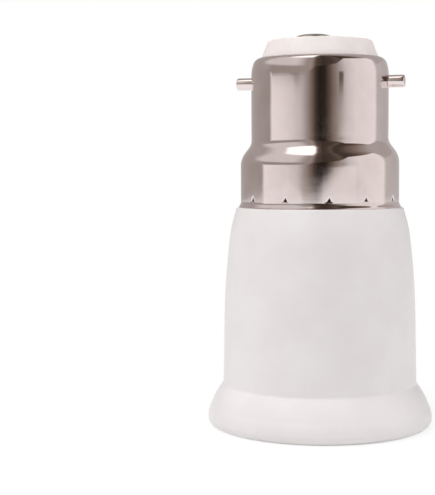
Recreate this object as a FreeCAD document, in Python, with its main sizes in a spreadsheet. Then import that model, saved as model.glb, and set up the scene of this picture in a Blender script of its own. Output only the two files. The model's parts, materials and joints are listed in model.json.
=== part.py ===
import FreeCAD
import Part
import Sketcher
import math
import os

# Lamp socket adapter: a two-pin bayonet cap on top, an Edison screw socket in the mouth below.
# Frame: millimetres, +Z up along the axis, origin in the plane of the mouth's rim.
# The bayonet pins lie along X, the two cap contacts and the two shell screws along Y.

# Driving sizes, written once: name, value, what it measures
SIZES = (
    # Moulded housing, from the rim up
    ("rim_flat", 2.3, "flat ring of the rim, which the part stands on"),
    ("rim_round", 1.35, "rounding of the rim's lower edge"),
    ("band_step", 0.5, "how far the rim band draws in before the flare starts"),
    ("band_height", 3.35, "height of the rim band"),
    ("band_curve", 4.0, "rounding of the band's upper half"),
    ("flare_height", 6.85, "height where the flare meets the barrel"),
    ("flare_curve", 12.0, "radius of the flare's slight crown"),
    ("barrel_wall", 1.65, "barrel wall just above the flare"),
    ("waist_height", 16.0, "height where the barrel starts to draw in"),
    ("waist_wall", 1.46, "barrel wall at that height"),
    ("draw_height", 31.0, "height where the barrel's upper edge rounds faster"),
    ("draw_step", 1.0, "how far the brow draws in above that height"),
    ("draw_curve", 120.0, "long curve from the waist to the brow"),
    ("brow_curve", 20.0, "curve of the brow"),
    ("ledge_width", 0.73, "ledge round the metal sleeve, with its broken edge"),
    ("top_chamfer", 0.3, "broken top edge"),
    ("housing_top", 35.3, "height of the ledge that carries the metal sleeve"),
    ("bore_gap", 0.35, "gap between the screw shell and its bore"),
    ("bore_chamfer", 0.5, "chamfer at the mouth of the bore"),
    ("floor_front", 20.8, "face of the inner floor that looks out of the mouth"),
    ("floor_wall", 2.5, "thickness of the inner floor"),
    ("neck_play", 0.05, "play between the neck and the sleeve crimped on it"),
    ("neck_wall", 1.45, "wall of the neck round the wiring cavity"),
    ("neck_height", 7.1, "height of the neck above the ledge"),
    ("neck_chamfer", 0.5, "chamfer at the top of the neck"),
    ("groove_depth", 0.65, "depth of the crimping groove"),
    ("groove_width", 1.9, "width of the crimping groove"),
    ("dent_height", 1.2, "height of the crimps above the ledge"),
    # Details on the inner floor
    ("rib_gap", 0.3, "gap between a rib and the centre contact"),
    ("rib_wall", 0.95, "thickness of a rib"),
    ("rib_start", -2.5, "start of the ribs along X"),
    ("rib_end", 6.2, "end of the ribs along X"),
    ("rib_height", 3.5, "height of the ribs"),
    ("vent_reach", 2.3, "radial size of the two curved floor slots"),
    ("vent_width", 5.5, "width of the floor slots"),
    ("vent_relief", 2.0, "how far a slot is cored above the floor"),
    ("boss_radius", 2.5, "round column that each shell screw bites into"),
    ("boss_height", 6.2, "height of the columns above the floor"),
    ("boss_cover", 0.5, "plastic left over the end of the screw hole"),
    # Screw shell of thin rolled brass
    ("shell_wall", 0.35, "sheet thickness"),
    ("mouth_radius", 13.3, "inside of the shell at its mouth"),
    ("thread_depth", 1.05, "depth of the rolled thread"),
    ("thread_pitch", 3.62, "rise of the thread in one turn"),
    ("thread_turns", 3.25, "turns of thread"),
    ("thread_land", 0.9, "flat of the rolled wave, inside and outside"),
    ("thread_start", 2.75, "height of the thread's start"),
    ("lip_recess", 1.0, "how far the shell's lip lies inside the rim"),
    ("mouth_depth", 2.4, "plain collar above the lip"),
    ("mouth_taper", 0.9, "height of the cone under the first turn"),
    ("seat_step", 0.3, "how far the plain end next to the floor opens past the crests"),
    ("seat_length", 4.2, "length of that end, with its bend"),
    ("seat_taper", 0.35, "height of the cone that leads to it"),
    ("seat_bend", 0.6, "size of the bevelled bend to the flange"),
    ("flange_reach", 2.85, "flange from a screw's axis to its straight edge"),
    ("flange_ring", 0.45, "flange left at the round ends of its window"),
    # Fixing screws
    ("screw_offset", 9.3, "distance of each shell screw from the axis"),
    ("screw_radius", 1.2, "shank of a screw and the hole it cuts"),
    ("screw_hole", 1.5, "clearance hole in the flange and the terminal"),
    ("screw_length", 7.6, "shank under the flange"),
    ("screw_point", 1.1, "pointed end of the shank"),
    ("head_radius", 2.5, "pan head"),
    ("head_edge", 0.9, "straight side of the head"),
    ("head_height", 1.7, "whole height of the head"),
    ("cross_length", 2.9, "length of one stroke of the cross recess"),
    ("cross_width", 0.62, "width of a stroke"),
    ("cross_depth", 1.1, "depth of the recess"),
    # Centre contact, one bent strip of springy copper alloy
    ("strip_wall", 0.4, "strip thickness"),
    ("strip_width", 6.4, "strip width"),
    ("strip_root", -4.7, "where the strip stands in the floor, along X"),
    ("root_bend", 0.4, "inside radius of the bend under the floor"),
    ("root_drop", 0.4, "depth of that bend's centre under the floor's face"),
    ("slope_angle", 49.0, "turn at the root"),
    ("slope_length", 3.7, "straight run down to the crown"),
    ("crown_bend", 2.0, "inside radius of the crown"),
    ("rise_angle", 27.0, "slope of the strip behind the crown"),
    ("rise_length", 3.0, "straight run behind the crown"),
    ("tip_bend", 1.0, "inside radius of the turned tip"),
    ("tip_angle", 32.0, "turn of the tip"),
    ("dimple_radius", 1.8, "pressed dome on the crown"),
    ("dimple_proud", 0.42, "how far the dome stands out"),
    ("tail_shoulder", 0.8, "full width above the floor"),
    ("tab_width", 2.4, "width of the solder tab"),
    ("tab_length", 2.7, "length of the solder tab"),
    ("slot_ahead", 0.25, "slot clearance on the crown's side"),
    ("slot_behind", 0.55, "slot clearance where the tail tips back"),
    ("slot_side", 0.25, "slot clearance at the strip's edges"),
    # Terminal of the shell, a brass tag clamped under the flange
    ("tag_wall", 0.4, "sheet thickness"),
    ("tag_radius", 2.6, "eye of the tag"),
    ("tag_reach", 4.9, "far face of the bent tail, along X"),
    ("tag_width", 1.4, "width of arm and tail"),
    ("tag_shift", 1.0, "arm's centre line inside the screw's, along Y"),
    ("tag_tail", 3.4, "tail above the floor"),
    ("tag_clearance", 0.12, "play of the tag in its recess and slot"),
    # Nickelled bayonet sleeve, drawn from sheet
    ("sleeve_wall", 0.32, "sheet thickness"),
    ("skirt_step", 1.72, "how far the skirt over the neck stands out past the bayonet diameter"),
    ("skirt_height", 6.9, "height of the skirt"),
    ("skirt_flare", 0.2, "how far its lower edge turns out"),
    ("flare_rise", 0.7, "height of that turned-out edge"),
    ("shoulder_angle", 37.0, "slope of the shoulder, from the axis"),
    ("shoulder_curve", 3.4, "outward curve below that slope"),
    ("throat_curve", 2.1, "inward curve above it"),
    ("throat_step", 0.08, "how far the sleeve draws in just above the shoulder"),
    ("throat_rise", 3.4, "height over which it opens again"),
    ("sleeve_radius", 11.0, "bayonet diameter over two"),
    ("sleeve_rise", 21.3, "height above the ledge where the sleeve starts to draw in"),
    ("lip_taper", 0.38, "how far it draws in under the turned-in top edge"),
    ("lip_rise", 1.9, "height of that drawn-in part"),
    ("lip_curve", 1.35, "radius of the turned-in edge"),
    ("lip_turn", 1.55, "how far that edge reaches inwards"),
    ("lip_height", 3.15, "height of the edge above the start of the drawn-in part"),
    ("dent_count", 12, "crimps round the skirt"),
    ("dent_turn", 15.0, "angle from the pins to the first crimp"),
    ("dent_radius", 0.75, "middle to corner of a punched, three-cornered crimp"),
    ("dent_depth", 0.4, "depth of a crimp"),
    ("dent_slope", 38.0, "slope of its sides"),
    # Bayonet pins
    ("pin_radius", 1.0, "pin radius"),
    ("pin_drop", 1.35, "distance of the pins below the drawn-in part"),
    ("pin_reach", 2.65, "how far a pin stands out of the sleeve"),
    ("pin_chamfer", 0.25, "chamfer at the outer end"),
    ("pin_foot", 0.1, "chamfer at the pin's shoulder on the sleeve"),
    ("shank_radius", 0.8, "shank through the sleeve's wall"),
    ("pin_head_radius", 1.3, "riveted head inside the sleeve"),
    ("pin_head_wall", 0.55, "thickness of that head"),
    # Cap insulator
    ("cap_play", 0.1, "play between insulator and sleeve"),
    ("cap_wall", 1.28, "wall of the insulator's skirt"),
    ("foot_step", 0.45, "how far the foot stands back from the neck's edge"),
    ("cap_foot_height", 1.1, "straight edge of the foot"),
    ("cap_foot_slope", 1.2, "slope above the foot"),
    ("cone_gap", 0.2, "gap between the lip and the cone that comes out of it"),
    ("cone_draw", 0.95, "how far the cone draws in up to its top edge"),
    ("cone_chamfer", 0.3, "broken edge of the cone's top"),
    ("cap_rise", 5.3, "top face of the insulator above the start of the drawn-in part"),
    ("cap_roof", 4.4, "thickness under the contacts"),
    ("pin_slot_play", 0.35, "room round a pin's head in the insulator's slot"),
    ("pin_slot_floor", 0.6, "wall left behind the slot"),
    # Cap contacts
    ("contact_offset", 4.9, "distance of each contact from the axis"),
    ("eyelet_radius", 1.3, "tube of the eyelet"),
    ("eyelet_wall", 0.3, "its wall"),
    ("eyelet_flange", 2.8, "flange on the insulator"),
    ("eyelet_flange_wall", 0.25, "thickness of flange and turned end"),
    ("eyelet_turn", 1.9, "turned end under the insulator"),
    ("dome_radius", 2.6, "solder dome on the flange"),
    ("dome_height", 0.36, "height of the dome"),
    ("solder_depth", 2.8, "solder in the tube, below the flange"),
    # Insulated leads
    ("wire_radius", 0.35, "bare conductor"),
    ("lead_radius", 0.85, "over the insulation"),
    ("wire_lap", 1.4, "conductor laid along a terminal"),
    ("strip_back", 1.0, "bare conductor between solder and insulation"),
    ("lead_drop", 14.5, "straight lead under a cap contact"),
    ("eyelet_gap", 0.5, "insulation ends this far under the eyelet"),
    ("blob_radius", 1.1, "solder on a terminal"),
    ("blob_height", 2.2, "its height"),
    ("blob_taper", 0.6, "height of its tapered ends"),
    ("blob_end", 0.6, "radius at those ends"),
)

doc = FreeCAD.newDocument("lamp_socket_adapter")
sheet = doc.addObject("Spreadsheet::Sheet", "Sizes")
for row, (alias, value, meaning) in enumerate(SIZES, start=1):
    sheet.set(f"A{row}", meaning)
    sheet.set(f"B{row}", str(value))
    sheet.setAlias(f"B{row}", alias)
doc.recompute()


class Size:
    """A size that carries its value and the sheet expression that gives it."""

    def __init__(self, value, text):
        self.value = value
        self.text = text

    def __add__(self, other):
        return Size(self.value + number(other), f"({self.text} + {words(other)})")

    def __sub__(self, other):
        return Size(self.value - number(other), f"({self.text} - {words(other)})")

    def __mul__(self, other):
        return Size(self.value * number(other), f"({self.text} * {words(other)})")

    def __truediv__(self, other):
        return Size(self.value / number(other), f"({self.text} / {words(other)})")

    def __neg__(self):
        return Size(-self.value, f"(0 - {self.text})")


def number(thing):
    """The plain value of a size or a number."""
    return thing.value if isinstance(thing, Size) else float(thing)


def words(thing):
    """The expression text of a size or a number."""
    return thing.text if isinstance(thing, Size) else f"({thing})"


def cosine(angle):
    """Cosine of an angle in degrees."""
    return Size(math.cos(math.radians(angle.value)), f"cos({angle.text} * 1 deg)")


def sine(angle):
    """Sine of an angle in degrees."""
    return Size(math.sin(math.radians(angle.value)), f"sin({angle.text} * 1 deg)")


def root(total):
    """Square root."""
    return Size(math.sqrt(total.value), f"sqrt({total.text})")


class Named:
    """Every driving size as an attribute, read back from the sheet."""

    def __init__(self):
        for name, _value, _meaning in SIZES:
            setattr(self, name, Size(float(sheet.get(name)), f"Sizes.{name}"))


s = Named()
zero = Size(0.0, "0")

# Sizes that follow: the sleeve gives the neck and the brow, the shell gives the bore and the barrel
s.skirt_radius = s.sleeve_radius + s.skirt_step
s.throat_radius = s.sleeve_radius - s.throat_step
s.lip_start = s.housing_top + s.sleeve_rise
s.lip_radius = s.sleeve_radius - s.lip_turn
s.lip_top = s.lip_start + s.lip_height
s.lip_under = s.lip_top - s.sleeve_wall
s.cone_radius = s.lip_radius - s.cone_gap
s.cone_top_radius = s.cone_radius - s.cone_draw
s.cap_top = s.lip_start + s.cap_rise
s.pin_height = s.lip_start - s.pin_drop
s.neck_radius = s.skirt_radius - s.sleeve_wall - s.neck_play
s.cavity_radius = s.neck_radius - s.neck_wall
s.cap_foot_radius = s.neck_radius - s.foot_step
s.brow_radius = s.skirt_radius + s.ledge_width
s.draw_radius = s.brow_radius + s.draw_step
s.bore_radius = s.mouth_radius + s.shell_wall + s.bore_gap
s.rim_radius = s.bore_radius + s.bore_chamfer + s.rim_flat + s.rim_round
s.band_radius = s.rim_radius - s.band_step
s.barrel_radius = s.bore_radius + s.barrel_wall
s.waist_radius = s.bore_radius + s.waist_wall
s.thread_radius = s.mouth_radius - s.thread_depth
s.seat_radius = s.thread_radius + s.seat_step
s.window_radius = s.seat_radius - s.flange_ring
s.window_half = s.screw_offset - s.flange_reach
s.vent_outer = s.window_radius
s.vent_inner = s.vent_outer - s.vent_reach

# Places that more than one piece uses
floor_back = s.floor_front + s.floor_wall
neck_top = s.housing_top + s.neck_height
flange_front = s.floor_front - s.shell_wall
sleeve_inner = s.sleeve_radius - s.sleeve_wall
cap_underside = s.cap_top - s.cap_roof
cap_radius = s.throat_radius - s.sleeve_wall - s.cap_play
cap_inner = cap_radius - s.cap_wall
eyelet_top = s.cap_top + s.eyelet_flange_wall
wire_top = eyelet_top - s.eyelet_wall / 2
strip_half = s.strip_width / 2
bend_centre_x = s.strip_root + s.strip_wall / 2 + s.root_bend
bend_centre_z = s.floor_front - s.root_drop
tail_back = s.strip_root - s.strip_wall / 2
tab_bottom = floor_back + s.tail_shoulder
tab_top = tab_bottom + s.tab_length
tag_line = s.screw_offset - s.tag_shift
tag_top = floor_back + s.tag_tail


# Helpers for bodies and sketches

def bind(thing, prop, size):
    """Tie a property to the sheet."""
    thing.setExpression(prop, words(size))


def new_body(label):
    """A part design body with the node's name."""
    body = doc.addObject("PartDesign::Body", label)
    body.Label = label
    return body


def origin_of(body, role):
    """One of the body's own origin planes or axes."""
    return next(part for part in body.Origin.OriginFeatures if part.Role == role)


def new_sketch(body, name, role, lift=None):
    """A sketch on an origin plane, lifted along that plane's normal."""
    sketch = body.newObject("Sketcher::SketchObject", name)
    sketch.AttachmentSupport = [(origin_of(body, role), "")]
    sketch.MapMode = "FlatFace"
    if lift is not None:
        sketch.AttachmentOffset = FreeCAD.Placement(
            FreeCAD.Vector(0, 0, lift.value), FreeCAD.Rotation())
        bind(sketch, "AttachmentOffset.Base.z", lift)
    return sketch


def arc_between(start, end, radius, turn):
    """The short arc from start to end: to the left of its chord's centre if turn is left."""
    chord = end - start
    side = FreeCAD.Vector(-chord.y, chord.x, 0).normalize()
    reach = math.sqrt(max(radius ** 2 - (chord.Length / 2) ** 2, 0.0))
    centre = (start + end) * 0.5 + side * (reach if turn == "left" else -reach)
    first, last = (start, end) if turn == "left" else (end, start)
    angles = [math.atan2(p.y - centre.y, p.x - centre.x) for p in (first, last)]
    if angles[1] < angles[0]:
        angles[1] += 2 * math.pi
    circle = Part.Circle(centre, FreeCAD.Vector(0, 0, 1), radius)
    return Part.ArcOfCircle(circle, angles[0], angles[1])


def draw_loop(sketch, corners):
    """A closed outline. A corner is (x, y), or (x, y, turn, radius) where an arc leads to it."""
    points = [FreeCAD.Vector(number(c[0]), number(c[1]), 0) for c in corners]
    first = sketch.GeometryCount
    ends = []
    arcs = []
    for i in range(len(corners)):
        start = points[i - 1]
        corner = corners[i]
        if len(corner) == 2:
            sketch.addGeometry(Part.LineSegment(start, points[i]), False)
            ends.append((1, 2))
        else:
            turn, radius = corner[2], corner[3]
            sketch.addGeometry(arc_between(start, points[i], radius.value, turn), False)
            ends.append((1, 2) if turn == "left" else (2, 1))
            arcs.append((first + i, radius))
    for i in range(len(corners)):
        following = (i + 1) % len(corners)
        sketch.addConstraint(Sketcher.Constraint(
            "Coincident", first + i, ends[i][1], first + following, ends[following][0]))
        for kind, size in (("DistanceX", corners[i][0]), ("DistanceY", corners[i][1])):
            index = sketch.addConstraint(Sketcher.Constraint(
                kind, -1, 1, first + i, ends[i][1], number(size)))
            bind(sketch, f"Constraints[{index}]", size)
    for geometry, radius in arcs:
        index = sketch.addConstraint(Sketcher.Constraint("Radius", geometry, radius.value))
        bind(sketch, f"Constraints[{index}]", radius)


def draw_circle(sketch, x, y, radius):
    """A circle whose centre and radius are tied to the sheet."""
    centre = FreeCAD.Vector(number(x), number(y), 0)
    circle = sketch.addGeometry(
        Part.Circle(centre, FreeCAD.Vector(0, 0, 1), radius.value), False)
    for kind, size in (("DistanceX", x), ("DistanceY", y)):
        index = sketch.addConstraint(Sketcher.Constraint(
            kind, -1, 1, circle, 3, number(size)))
        bind(sketch, f"Constraints[{index}]", size)
    index = sketch.addConstraint(Sketcher.Constraint("Radius", circle, radius.value))
    bind(sketch, f"Constraints[{index}]", radius)


def block(x_low, x_high, y_low, y_high):
    """Corners of an upright rectangle."""
    return [(x_low, y_low), (x_high, y_low), (x_high, y_high), (x_low, y_high)]


def turned(body, name, corners, cut=False):
    """Turn an outline, radius against height, about the body's axis."""
    sketch = new_sketch(body, f"{name}_outline", "XZ_Plane")
    draw_loop(sketch, corners)
    kind = "PartDesign::Groove" if cut else "PartDesign::Revolution"
    feature = body.newObject(kind, name)
    feature.Profile = sketch
    feature.ReferenceAxis = (sketch, ["V_Axis"])
    feature.Angle = 360
    return feature


def padded(body, name, sketch, length, reverse=False, slope=None):
    """Add the sketch's outline along its normal, or against it."""
    feature = body.newObject("PartDesign::Pad", name)
    feature.Profile = sketch
    bind(feature, "Length", length)
    feature.Reversed = reverse
    if slope is not None:
        bind(feature, "TaperAngle", slope)
    return feature


def pocketed(body, name, sketch, length, along_normal=True, slope=None):
    """Cut the sketch's outline along its normal, or against it."""
    feature = body.newObject("PartDesign::Pocket", name)
    feature.Profile = sketch
    bind(feature, "Length", length)
    feature.Reversed = along_normal
    if slope is not None:
        bind(feature, "TaperAngle", slope)
    return feature


def patterned(body, name, features, count):
    """Repeat features round the body's axis."""
    pattern = body.newObject("PartDesign::PolarPattern", name)
    pattern.Originals = features
    pattern.Axis = (origin_of(body, "Z_Axis"), [""])
    pattern.Angle = 360
    if isinstance(count, Size):
        bind(pattern, "Occurrences", count)
    else:
        pattern.Occurrences = count
    body.Tip = pattern
    return pattern


def coded(label, shape):
    """A piece whose shape is worked out in code."""
    piece = doc.addObject("Part::Feature", label)
    piece.Label = label
    piece.Shape = shape
    return piece


# Housing: one moulding with barrel, inner floor, ribs, screw columns and neck

def make_housing():
    body = new_body("housing")
    groove_low = s.housing_top + s.dent_height - s.groove_width / 2
    groove_high = groove_low + s.groove_width
    groove_bottom = s.neck_radius - s.groove_depth
    turned(body, "moulding", [
        (s.rim_radius - s.rim_round, zero),
        (s.rim_radius, s.rim_round, "left", s.rim_round),
        (s.band_radius, s.band_height, "left", s.band_curve),
        (s.barrel_radius, s.flare_height, "left", s.flare_curve),
        (s.waist_radius, s.waist_height),
        (s.draw_radius, s.draw_height, "left", s.draw_curve),
        (s.brow_radius, s.housing_top - s.top_chamfer, "left", s.brow_curve),
        (s.brow_radius - s.top_chamfer, s.housing_top),
        (s.neck_radius, s.housing_top),
        (s.neck_radius, groove_low),
        (groove_bottom, groove_low),
        (groove_bottom, groove_high),
        (s.neck_radius, groove_high),
        (s.neck_radius, neck_top - s.neck_chamfer),
        (s.neck_radius - s.neck_chamfer, neck_top),
        (s.cavity_radius, neck_top),
        (s.cavity_radius, floor_back),
        (zero, floor_back),
        (zero, s.floor_front),
        (s.bore_radius, s.floor_front),
        (s.bore_radius, s.bore_chamfer),
        (s.bore_radius + s.bore_chamfer, zero),
    ])

    ribs = new_sketch(body, "rib_outline", "XY_Plane", s.floor_front)
    rib_near = strip_half + s.rib_gap
    rib_far = rib_near + s.rib_wall
    draw_loop(ribs, block(s.rib_start, s.rib_end, rib_near, rib_far))
    draw_loop(ribs, block(s.rib_start, s.rib_end, -rib_far, -rib_near))
    padded(body, "ribs", ribs, s.rib_height, reverse=True)

    columns = new_sketch(body, "column_outline", "XY_Plane", floor_back)
    draw_circle(columns, zero, s.screw_offset, s.boss_radius)
    draw_circle(columns, zero, -s.screw_offset, s.boss_radius)
    padded(body, "screw_columns", columns, s.boss_height)

    holes = new_sketch(body, "screw_hole_outline", "XY_Plane", s.floor_front)
    draw_circle(holes, zero, s.screw_offset, s.screw_radius)
    draw_circle(holes, zero, -s.screw_offset, s.screw_radius)
    pocketed(body, "screw_holes", holes, s.floor_wall + s.boss_height - s.boss_cover)

    slot = new_sketch(body, "contact_slot_outline", "XY_Plane", s.floor_front)
    draw_loop(slot, block(
        tail_back - s.slot_behind, tail_back + s.strip_wall + s.slot_ahead,
        -strip_half - s.slot_side, strip_half + s.slot_side))
    pocketed(body, "contact_slot", slot, s.floor_wall)

    recess = new_sketch(body, "tag_recess_outline", "XY_Plane", s.floor_front)
    play = s.tag_clearance
    draw_circle(recess, zero, s.screw_offset, s.tag_radius + play)
    pocketed(body, "tag_recess", recess, s.tag_wall)
    arm = new_sketch(body, "tag_arm_outline", "XY_Plane", s.floor_front)
    draw_loop(arm, block(
        zero, s.tag_reach + play,
        tag_line - s.tag_width / 2 - play, tag_line + s.tag_width / 2 + play))
    pocketed(body, "tag_arm_recess", arm, s.tag_wall)
    passage = new_sketch(body, "tag_slot_outline", "XY_Plane", s.floor_front)
    draw_loop(passage, block(
        s.tag_reach - s.tag_wall - play, s.tag_reach + play,
        tag_line - s.tag_width / 2 - play, tag_line + s.tag_width / 2 + play))
    pocketed(body, "tag_slot", passage, s.floor_wall)

    vent = new_sketch(body, "vent_outline", "XY_Plane", s.floor_front)
    half = s.vent_width / 2
    near = root(s.vent_inner * s.vent_inner - half * half)
    far = root(s.vent_outer * s.vent_outer - half * half)
    draw_loop(vent, [
        (near, -half, "right", s.vent_inner),
        (far, -half),
        (far, half, "left", s.vent_outer),
        (near, half),
    ])
    first = pocketed(body, "vent", vent, s.floor_wall + s.vent_relief)
    patterned(body, "vents", [first], 2)
    return body


# Bayonet sleeve: thin sheet with skirt, shoulder, waist and turned-in top edge

def make_sleeve():
    body = new_body("bayonet_sleeve")
    wall = s.sleeve_wall
    step = s.skirt_radius - s.throat_radius
    fall = Size(1.0, "1") - cosine(s.shoulder_angle)
    low = s.housing_top + s.skirt_height
    curves = s.shoulder_curve + s.throat_curve
    straight = (step - curves * fall) / sine(s.shoulder_angle)
    high = low + curves * sine(s.shoulder_angle) + straight * cosine(s.shoulder_angle)
    skirt_centre = s.skirt_radius - s.shoulder_curve
    throat_centre = s.throat_radius + s.throat_curve
    inner_curve = s.shoulder_curve - wall
    lip_base = s.lip_start + s.lip_rise

    def on_shoulder(radius):
        return (skirt_centre + radius * cosine(s.shoulder_angle),
                low + radius * sine(s.shoulder_angle))

    def under_throat(radius):
        return (throat_centre - radius * cosine(s.shoulder_angle),
                high - radius * sine(s.shoulder_angle))

    turned(body, "drawn_sheet", [
        (s.skirt_radius + s.skirt_flare - wall, s.housing_top),
        (s.skirt_radius + s.skirt_flare, s.housing_top),
        (s.skirt_radius, s.housing_top + s.flare_rise),
        (s.skirt_radius, low),
        (*on_shoulder(s.shoulder_curve), "left", s.shoulder_curve),
        under_throat(s.throat_curve),
        (s.throat_radius, high, "right", s.throat_curve),
        (s.sleeve_radius, high + s.throat_rise),
        (s.sleeve_radius, s.lip_start),
        (s.sleeve_radius - s.lip_taper, lip_base),
        (s.lip_radius, s.lip_top, "left", s.lip_curve),
        (s.lip_radius, s.lip_under),
        (sleeve_inner - s.lip_taper, lip_base, "right", s.lip_curve - wall),
        (sleeve_inner, s.lip_start),
        (sleeve_inner, high + s.throat_rise),
        (s.throat_radius - wall, high),
        (*under_throat(s.throat_curve + wall), "left", s.throat_curve + wall),
        on_shoulder(inner_curve),
        (s.skirt_radius - wall, low, "right", inner_curve),
        (s.skirt_radius - wall, s.housing_top + s.flare_rise),
    ])

    pin_hole = new_sketch(body, "pin_hole_outline", "YZ_Plane")
    draw_circle(pin_hole, zero, s.pin_height, s.shank_radius)
    hole = pocketed(body, "pin_hole", pin_hole, s.sleeve_radius + wall)
    patterned(body, "pin_holes", [hole], 2)

    def crimp_outline(name, distance, size):
        """A three-cornered outline, point up, that faces outwards at the first crimp's angle."""
        sketch = new_sketch(body, name, "YZ_Plane")
        turn = FreeCAD.Rotation(FreeCAD.Vector(0, 1, 0), s.dent_turn.value)
        sketch.AttachmentOffset = FreeCAD.Placement(FreeCAD.Vector(), turn)
        bind(sketch, "AttachmentOffset.Rotation.Angle", s.dent_turn)
        bind(sketch, "AttachmentOffset.Base.x", distance * sine(s.dent_turn))
        bind(sketch, "AttachmentOffset.Base.z", distance * cosine(s.dent_turn))
        centre = s.housing_top + s.dent_height
        corners = []
        for angle in (90, 210, 330):
            across = size * Size(math.cos(math.radians(angle)), f"cos({angle} deg)")
            up = size * Size(math.sin(math.radians(angle)), f"sin({angle} deg)")
            corners.append((across, centre + up))
        draw_loop(sketch, corners)
        return sketch

    middle = s.skirt_radius - wall / 2
    bump = padded(body, "crimp_bump",
                  crimp_outline("bump_outline", middle, s.dent_radius + wall),
                  s.dent_depth + wall / 2, reverse=True, slope=-s.dent_slope)
    patterned(body, "crimp_bumps", [bump], s.dent_count)
    dent = pocketed(body, "crimp_dent",
                    crimp_outline("dent_outline", s.skirt_radius, s.dent_radius),
                    s.dent_depth, along_normal=False, slope=-s.dent_slope)
    patterned(body, "crimp_dents", [dent], s.dent_count)
    return body


# Bayonet pins: a shouldered pin on the sleeve, its shank riveted over on the sleeve's inside

def make_pin(label, side):
    outward = FreeCAD.Rotation(FreeCAD.Vector(0, 1, 0), 90 * side)
    seat = s.sleeve_radius
    end = seat + s.pin_reach

    def placed(kind, name, start, length):
        part = doc.addObject(kind, f"{label}_{name}")
        part.Placement = FreeCAD.Placement(FreeCAD.Vector(), outward)
        bind(part, "Height", length)
        bind(part, "Placement.Base.x", start * side)
        bind(part, "Placement.Base.z", s.pin_height)
        return part

    def rod(name, radius, start, length):
        part = placed("Part::Cylinder", name, start, length)
        bind(part, "Radius", radius)
        return part

    def taper(name, first, last, start, length):
        part = placed("Part::Cone", name, start, length)
        bind(part, "Radius1", first)
        bind(part, "Radius2", last)
        return part

    head_start = sleeve_inner - s.pin_head_wall
    shank = rod("shank", s.shank_radius, head_start, seat - head_start)
    foot = taper("foot", s.pin_radius - s.pin_foot, s.pin_radius, seat, s.pin_foot)
    pin_body = rod("body", s.pin_radius, seat + s.pin_foot,
                   s.pin_reach - s.pin_foot - s.pin_chamfer)
    tip = taper("tip", s.pin_radius, s.pin_radius - s.pin_chamfer,
                end - s.pin_chamfer, s.pin_chamfer)
    head = rod("head", s.pin_head_radius, head_start, s.pin_head_wall)
    inside = doc.addObject("Part::Cylinder", f"{label}_inside")
    bind(inside, "Radius", sleeve_inner)
    bind(inside, "Height", s.pin_height + s.pin_head_radius * 2)
    seated = doc.addObject("Part::Common", f"{label}_seated_head")
    seated.Base = head
    seated.Tool = inside
    pin = doc.addObject("Part::MultiFuse", label)
    pin.Label = label
    pin.Shapes = [seated, shank, foot, pin_body, tip]
    pin.Refine = True
    return pin


# Cap insulator: a cup whose foot stands on the neck and whose cone shows through the lip

def make_insulator():
    body = new_body("cap_insulator")
    foot_top = neck_top + s.cap_foot_height
    cone_base = s.lip_under - s.cone_gap
    turned(body, "cup", [
        (cap_inner, neck_top),
        (s.cap_foot_radius, neck_top),
        (s.cap_foot_radius, foot_top),
        (cap_radius, foot_top + s.cap_foot_slope),
        (cap_radius, s.lip_start),
        (sleeve_inner - s.lip_taper - s.cap_play, s.lip_start + s.lip_rise - s.cap_play),
        (s.lip_radius + s.cone_gap, cone_base),
        (s.cone_radius, cone_base),
        (s.cone_top_radius, s.cap_top - s.cone_chamfer),
        (s.cone_top_radius - s.cone_chamfer, s.cap_top),
        (zero, s.cap_top),
        (zero, cap_underside),
        (cap_inner, cap_underside),
    ])
    wells = new_sketch(body, "eyelet_hole_outline", "XY_Plane", cap_underside)
    draw_circle(wells, zero, s.contact_offset, s.eyelet_radius)
    draw_circle(wells, zero, -s.contact_offset, s.eyelet_radius)
    pocketed(body, "eyelet_holes", wells, s.cap_roof)
    slot_face = cap_inner + s.pin_slot_floor
    slot = new_sketch(body, "pin_slot_outline", "YZ_Plane", slot_face)
    slot_half = s.pin_head_radius + s.pin_slot_play
    draw_loop(slot, block(
        -slot_half, slot_half, s.pin_height - slot_half, s.lip_under))
    first = pocketed(body, "pin_slot", slot, s.sleeve_radius - slot_face)
    patterned(body, "pin_slots", [first], 2)
    return body


# Cap contacts: an eyelet turned over under the insulator, and solder that fills it

def make_eyelet(label, side):
    body = new_body(label)
    tube_inner = s.eyelet_radius - s.eyelet_wall
    bottom = cap_underside - s.eyelet_flange_wall
    turned(body, f"{label}_turning", [
        (tube_inner, bottom),
        (s.eyelet_turn, bottom),
        (s.eyelet_turn, cap_underside),
        (s.eyelet_radius, cap_underside),
        (s.eyelet_radius, s.cap_top),
        (s.eyelet_flange, s.cap_top),
        (s.eyelet_flange, eyelet_top),
        (tube_inner, eyelet_top),
    ])
    bind(body, "Placement.Base.y", s.contact_offset * side)
    return body


def make_dome(label, side):
    body = new_body(label)
    tube_inner = s.eyelet_radius - s.eyelet_wall
    low = eyelet_top - s.solder_depth
    crown = (s.dome_radius * s.dome_radius + s.dome_height * s.dome_height) / (s.dome_height * 2)
    turned(body, f"{label}_fill", [
        (s.wire_radius, low),
        (tube_inner, low),
        (tube_inner, eyelet_top),
        (s.dome_radius, eyelet_top),
        (zero, eyelet_top + s.dome_height, "left", crown),
        (zero, wire_top),
        (s.wire_radius, wire_top),
    ])
    bind(body, "Placement.Base.y", s.contact_offset * side)
    return body


# Screw shell: thin brass with the rolled helical thread, open at both ends but for its flange

def ridge_corners(core, crest, grow):
    """Section of the helical wave: flat crest, straight flanks, sunk into the core."""
    sink = Size(0.2, "0.2")
    flank = (s.thread_pitch - s.thread_land * 2) / 2
    slope = flank / (crest - core)
    top = s.thread_land / 2 + grow
    bottom = top + flank + slope * sink
    inner = core - sink
    return [
        (inner, s.thread_start - bottom),
        (crest, s.thread_start - top),
        (crest, s.thread_start + top),
        (inner, s.thread_start + bottom),
    ]


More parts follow.
